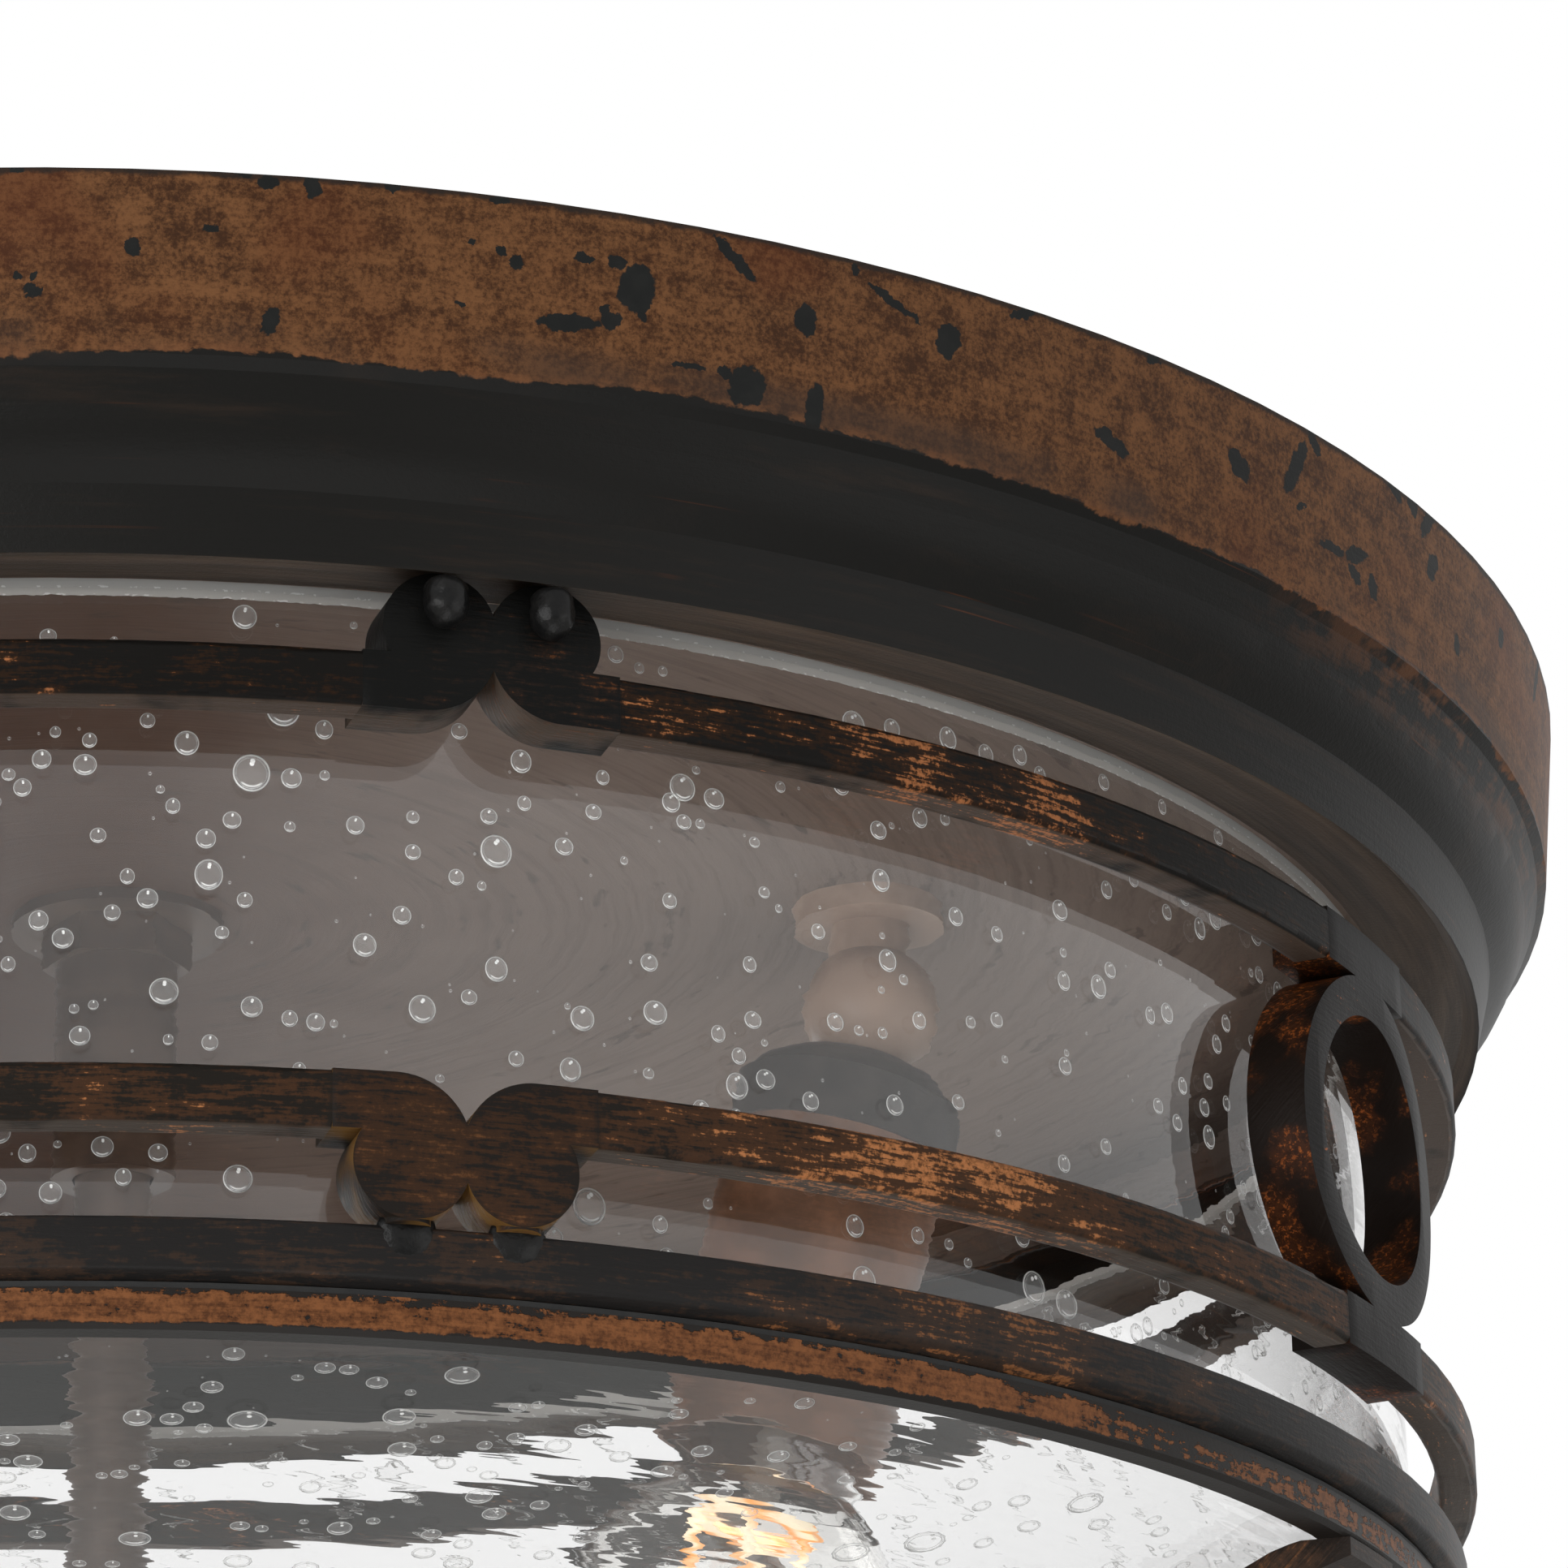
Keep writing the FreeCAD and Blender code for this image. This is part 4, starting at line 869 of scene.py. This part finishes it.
def lumpy_beads(name, finish, azimuth, centre, reach, half, flare):
    """One piece of eight lumpy beads of weld, a pair at each knot.

    The centre is (radius, height), reach is how far a bead stands to the side and out, half is half its height, and
    flare is how much it widens towards its top.
    """
    bead = unit_ball(*BEAD_STEPS)
    beads = []
    for quarter in range(4):
        for side in (-1, 1):
            turn = math.radians(azimuth + 90 * quarter) + side * math.asin(LOBE_OFFSET / centre[0])
            outward = Vector((math.sin(turn), -math.cos(turn), 0))
            level = Vector((math.cos(turn), math.sin(turn), 0))
            copy = bead.copy()
            copy.data = bead.data.copy()
            bpy.context.scene.collection.objects.link(copy)
            for vertex in copy.data.vertices:
                along, out, up = vertex.co
                spread = math.hypot(along, out)
                if up * flare > 0 and spread > POLE_SHARE:
                    full = (1.0 + flare * up * up) / math.sqrt(spread)
                    along, out = along * full, out * full
                here = outward * (centre[0] + out * reach[1]) + level * (along * reach[0])
                here.z = centre[1] + up * half
                lump = LUMP * noise(here * 900) + FINE_LUMP * noise(here * 2600)
                vertex.co = here + (outward * out + level * along) * lump
            beads.append(copy)
    bpy.data.objects.remove(bead)
    bpy.ops.object.select_all(action="DESELECT")
    for copy in beads:
        copy.select_set(True)
    bpy.context.view_layer.objects.active = beads[0]
    bpy.ops.object.join()
    welds = bpy.context.object
    bpy.ops.object.shade_smooth()
    return finished(welds, name, "fixture", finish)


def weld_blobs(finish):
    """Beads between the canopy lip and the lobes of the upper knots, in place of the pins."""
    low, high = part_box("knot_pins")
    welds = lumpy_beads(
        "weld_blobs", finish, UPPER_KNOT_AZIMUTH, (CAGE_RADIUS + WELD_SEAT_SHARE * WELD_RADIUS, (low.z + high.z) / 2),
        (WELD_RADIUS, WELD_RADIUS), (high.z - low.z) / 2, WELD_FLARE,
    )
    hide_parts("knot_pins")


def foot_welds(finish):
    """Low beads where the feet of the lower knots stand on the bottom ring."""
    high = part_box("bottom_ring")[1]
    lumpy_beads(
        "foot_welds", finish, LOWER_KNOT_AZIMUTH, (high.x - FOOT_INSET, high.z - FOOT_SINK), FOOT_REACH, FOOT_HALF, 0.0,
    )


def wool_pad(finish):
    """A ring of glass wool, lofted with a crowned top and soft sides."""
    low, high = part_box("insulation_pad")
    bpy.ops.object.select_all(action="DESELECT")
    bpy.ops.mesh.primitive_torus_add(
        major_segments=PAD_STEPS[0], minor_segments=PAD_STEPS[1], major_radius=PAD_PLAN, minor_radius=PAD_TUBE,
        location=(0, 0, 0),
    )
    pad = bpy.context.object
    inner, outer = PAD_INNER, high.x - PAD_ROOM
    middle = (low.z + high.z) / 2
    half = (high.z - low.z) / 2 - 2 * PAD_ROOM
    for vertex in pad.data.vertices:
        x, y, z = vertex.co
        reach = math.hypot(x, y)
        across = (reach - PAD_PLAN) / PAD_TUBE
        rise = z / PAD_TUBE
        turn = math.atan2(rise, across)
        wide = math.copysign(abs(math.cos(turn)) ** PAD_SIDE_POWER, across)
        tall = math.copysign(abs(math.sin(turn)) ** PAD_TOP_POWER, rise)
        radius = (inner + outer) / 2 + wide * (outer - inner) / 2
        here = Vector((x / reach * radius, y / reach * radius, 0))
        sag = PAD_SAG * noise(here * 45) + PAD_TUFT * noise(here * 160)
        edge = PAD_FRAY * noise(here * 70 + Vector((3, 1, 0)))
        radius = min(max(radius + edge * abs(wide) ** 6, inner), outer)
        height = middle + tall * half + (sag - PAD_SINK if tall > 0.3 else 0.0)
        height = min(max(height, low.z + PAD_LOW_GAP), high.z - PAD_TOP_GAP)
        vertex.co = (x / reach * radius, y / reach * radius, height)
    pick_only(pad)
    bpy.ops.object.shade_smooth()
    finished(pad, "wool_pad", "fixture", finish)
    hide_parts("insulation_pad")


def seed_shape():
    """The points and faces of a small bubble of a few dozen faces, its poles facing out of the glass."""
    seed = unit_ball(*SEED_STEPS)
    shape = [tuple(v.co) for v in seed.data.vertices]
    faces = [tuple(f.vertices) for f in seed.data.polygons]
    bpy.data.objects.remove(seed)
    return shape, faces


def joined_seeds(name, places, finish, body):
    """One piece of many bubbles: each place is (centre, outward, half width, stretch round, flatness)."""
    shape, faces = seed_shape()
    points, sides, skin = [], [], []
    for centre, outward, size, stretch, flat in places:
        first = len(points)
        level = Vector((-outward.y, outward.x, 0)).normalized()
        across = outward.cross(level).normalized()
        for x, y, z in shape:
            points.append(centre + level * (x * size * stretch) + across * (y * size) + outward * (z * size * flat))
        sides.extend(tuple(first + corner for corner in face) for face in faces)
        skin.extend(value for place in shape for value in place)
    mesh = bpy.data.meshes.new(name)
    mesh.from_pydata(points, [], sides)
    mesh.attributes.new("skin", "FLOAT_VECTOR", "POINT").data.foreach_set("vector", skin)
    mesh.update()
    piece = bpy.data.objects.new(name, mesh)
    bpy.context.scene.collection.objects.link(piece)
    pick_only(piece)
    bpy.ops.object.shade_smooth()
    finished(piece, name, body, finish)


def seed_size(chance):
    """Half a bubble's width: mostly about 2 mm across, some as fine as dust and a few large."""
    roll = chance.random()
    small, large = next((small, large) for share, small, large in SEED_SIZES if roll < share)
    return chance.uniform(small, large)


class Spread:
    """Keeps bubbles from running into each other."""

    def __init__(self):
        self.cells = {}

    def takes(self, centre, size):
        """Whether a bubble has room, and if so keeps its place."""
        key = tuple(math.floor(v / SEED_CELL) for v in centre)
        near = [
            seed
            for i in (-1, 0, 1) for j in (-1, 0, 1) for k in (-1, 0, 1)
            for seed in self.cells.get((key[0] + i, key[1] + j, key[2] + k), ())
        ]
        if any((centre - place).length < (size + other) * SEED_ROOM for place, other in near):
            return False
        self.cells.setdefault(key, []).append((centre, size))
        return True


def drum_seeds(finish, count):
    """Bubbles inside the drum's wall."""
    chance = random.Random(7)
    spread = Spread()
    places = []
    while len(places) < count:
        size = seed_size(chance)
        turn = chance.uniform(-math.pi, math.pi)
        height = chance.uniform(DRUM_END + SEED_EDGE_GAP, DRUM_TOP - SEED_EDGE_GAP)
        flat = chance.uniform(*DRUM_SEED_FLAT)
        spare = DRUM_WALL - 2 * size * flat - 2 * DRUM_SKIN
        radius = DRUM_RADIUS - DRUM_SKIN - size * flat - spare * chance.uniform(0.0, 1.0)
        outward = Vector((math.sin(turn), -math.cos(turn), 0))
        centre = outward * radius + Vector((0, 0, height))
        if spread.takes(centre, size):
            places.append((centre, outward, size, chance.uniform(*DRUM_SEED_STRETCH), flat))
    joined_seeds("drum_seeds", places, finish, "fixture")


def dome_seeds(finish, count):
    """Bubbles inside the dome's wall."""
    chance = random.Random(11)
    spread = Spread()
    top = DOME_LOW + DOME_SPHERE
    places = []
    while len(places) < count:
        size = seed_size(chance)
        radius = DOME_RADIUS * math.sqrt(chance.uniform(*DOME_SEED_REACH))
        turn = chance.uniform(-math.pi, math.pi)
        flat = chance.uniform(*DOME_SEED_FLAT)
        spare = DOME_WALL - 2 * size * flat - DOME_INNER_SKIN - DOME_OUTER_SKIN
        sphere = DOME_SPHERE - DOME_OUTER_SKIN - size * flat - spare * chance.uniform(0.0, 1.0)
        slope = math.asin(radius / DOME_SPHERE)
        outward = Vector((math.sin(turn) * math.sin(slope), -math.cos(turn) * math.sin(slope), -math.cos(slope)))
        centre = Vector((0, 0, top)) + outward * sphere
        if spread.takes(centre, size):
            places.append((centre, outward, size, chance.uniform(*DOME_SEED_STRETCH), flat))
    joined_seeds("dome_seeds", places, finish, "door")


# The light in its studio

set_camera()
studio()

# The side colours here are partly each part's own tone and partly painted light and shade on its sides.
lower_castings = rubbed_bronze("lower_cast_bronze", tint(37, 33, 30), tint(64, 45, 33), tint(108, 72, 46), 0.56, 0.70,
                               brown_low=0.44, side=tint(112, 82, 42), patchy=(0.36, 0.56), flecks=0.6, gloss=0.06)
upper_castings = rubbed_bronze("upper_cast_bronze", tint(21, 21, 20), tint(36, 29, 25), tint(100, 62, 38), 0.62, 0.70,
                               side=tint(76, 65, 56), flecks=0.3, gloss=0.06)
medallion_bronze = rubbed_bronze("medallion_bronze", tint(36, 34, 33), tint(44, 39, 36), tint(184, 100, 44), 0.64, 0.70,
                                 side=tint(28, 21, 17), patchy=(0.20, 0.30), flecks=0.9, edge=0.0004, gloss=0.06)
upper_bar = rubbed_bronze("upper_bar_bronze", tint(24, 22, 20), tint(47, 32, 22), tint(184, 118, 74), 0.62, 0.68,
                          brown_low=0.50, worn=((34.0, 12.0, 0.095),), side=tint(80, 67, 58), patchy=(0.30, 0.48),
                          gloss=0.06)
lower_bar = rubbed_bronze("lower_bar_bronze", tint(37, 33, 29), tint(74, 51, 36), tint(198, 130, 82), 0.59, 0.66,
                          brown_low=0.44, worn=((32.0, 12.0, 0.11),), side=tint(82, 72, 64), patchy=(0.30, 0.48),
                          gloss=0.06)
ring_bronze = rubbed_bronze("ring_bronze", tint(33, 31, 30), tint(56, 43, 35), tint(140, 92, 58), 0.62, 0.69,
                            brown_low=0.48, worn=((31.0, 12.0, 0.09),))
trim_bronze = rubbed_bronze("trim_bronze", tint(44, 36, 31), tint(72, 54, 42), tint(130, 88, 58), 0.56, 0.68)
stem_brown = plain_metal("stem_brown", tint(72, 56, 46), tint(92, 74, 62), 0.1, 0.4, 20.0, 200.0)
zinc = plain_metal("zinc_steel", tint(150, 150, 146), tint(196, 196, 190), 0.9, 0.35)
brass = plain_metal("brass", tint(170, 128, 66), tint(206, 164, 96), 0.9, 0.3)

dress(canopy_bronze(), "canopy")
dress(brown_pan(), "reflector_pan")
dress(zinc, "crossbar", "lock_nut")
dress(plain_metal("green_screw", tint(28, 92, 44), tint(48, 122, 62), 0.4, 0.4), "ground_screw")
dress(stem_brown, "centre_rod", "stem_sleeve", "pan_nut", "pan_washer")
dress(trim_bronze, "cross_strap", "finial")
dress(matt("ball_bronze", tint(148, 122, 104), tint(174, 148, 130), 70.0, 0.4, 0.00002, 0.3), "socket_mount")
dress(matt("cap_bronze", tint(44, 40, 37), tint(60, 54, 50), 200.0, 0.4, 0.00003, 0.2), "socket_cap")
dress(matt("sleeve_bronze", tint(92, 66, 50), tint(122, 88, 68), 90.0, 0.4, 0.00003, 0.25), "socket_sleeve")
dress(seeded_glass("drum_glass", True, 0.012), "glass_drum")
dress(seeded_glass("dome_glass", False, 0.045), "glass_dome")
dress(upper_castings, "knot_pins", "upper_knot")
dress(lower_castings, "lower_knot")
dress(medallion_bronze, "medallion")
dress(upper_bar, "upper_rail_bars")
dress(lower_bar, "lower_rail_bars")
dress(ring_bronze, "bottom_ring")
dress(door_finish(), "door_ring")
dress(matt("black_gasket", tint(26, 26, 26), tint(36, 36, 35), 500.0, 0.7, 0.0001), "door_gasket")
dress(matt("porcelain", tint(226, 222, 212), tint(238, 235, 228), 200.0, 0.25, 0.00003), "socket_core")
dress(brass, "socket_shell", "bulb_cap")
dress(clear_glass(), "bulb_glass")
for number in (1, 2, 3):
    dress(lit_filament(number), f"bulb_filament_{number}")

for kind, finish in (("upper_knot", upper_castings), ("lower_knot", lower_castings), ("medallion", medallion_bronze)):
    for number in range(1, 5):
        softened_casting(f"{kind}_{number}", finish)
softened_casting("bottom_ring", ring_bronze)

bead_paint = matt("bead_paint", tint(18, 18, 18), tint(31, 30, 29), 420.0, 0.3, 0.0002, 0.15)
weld_blobs(bead_paint)
foot_welds(bead_paint)
wool_pad(wool())
air = bubble_painted_rims()
drum_seeds(air, DRUM_SEED_COUNT)
dome_seeds(air, DOME_SEED_COUNT)

bpy.context.scene.view_settings.view_transform = "Standard"
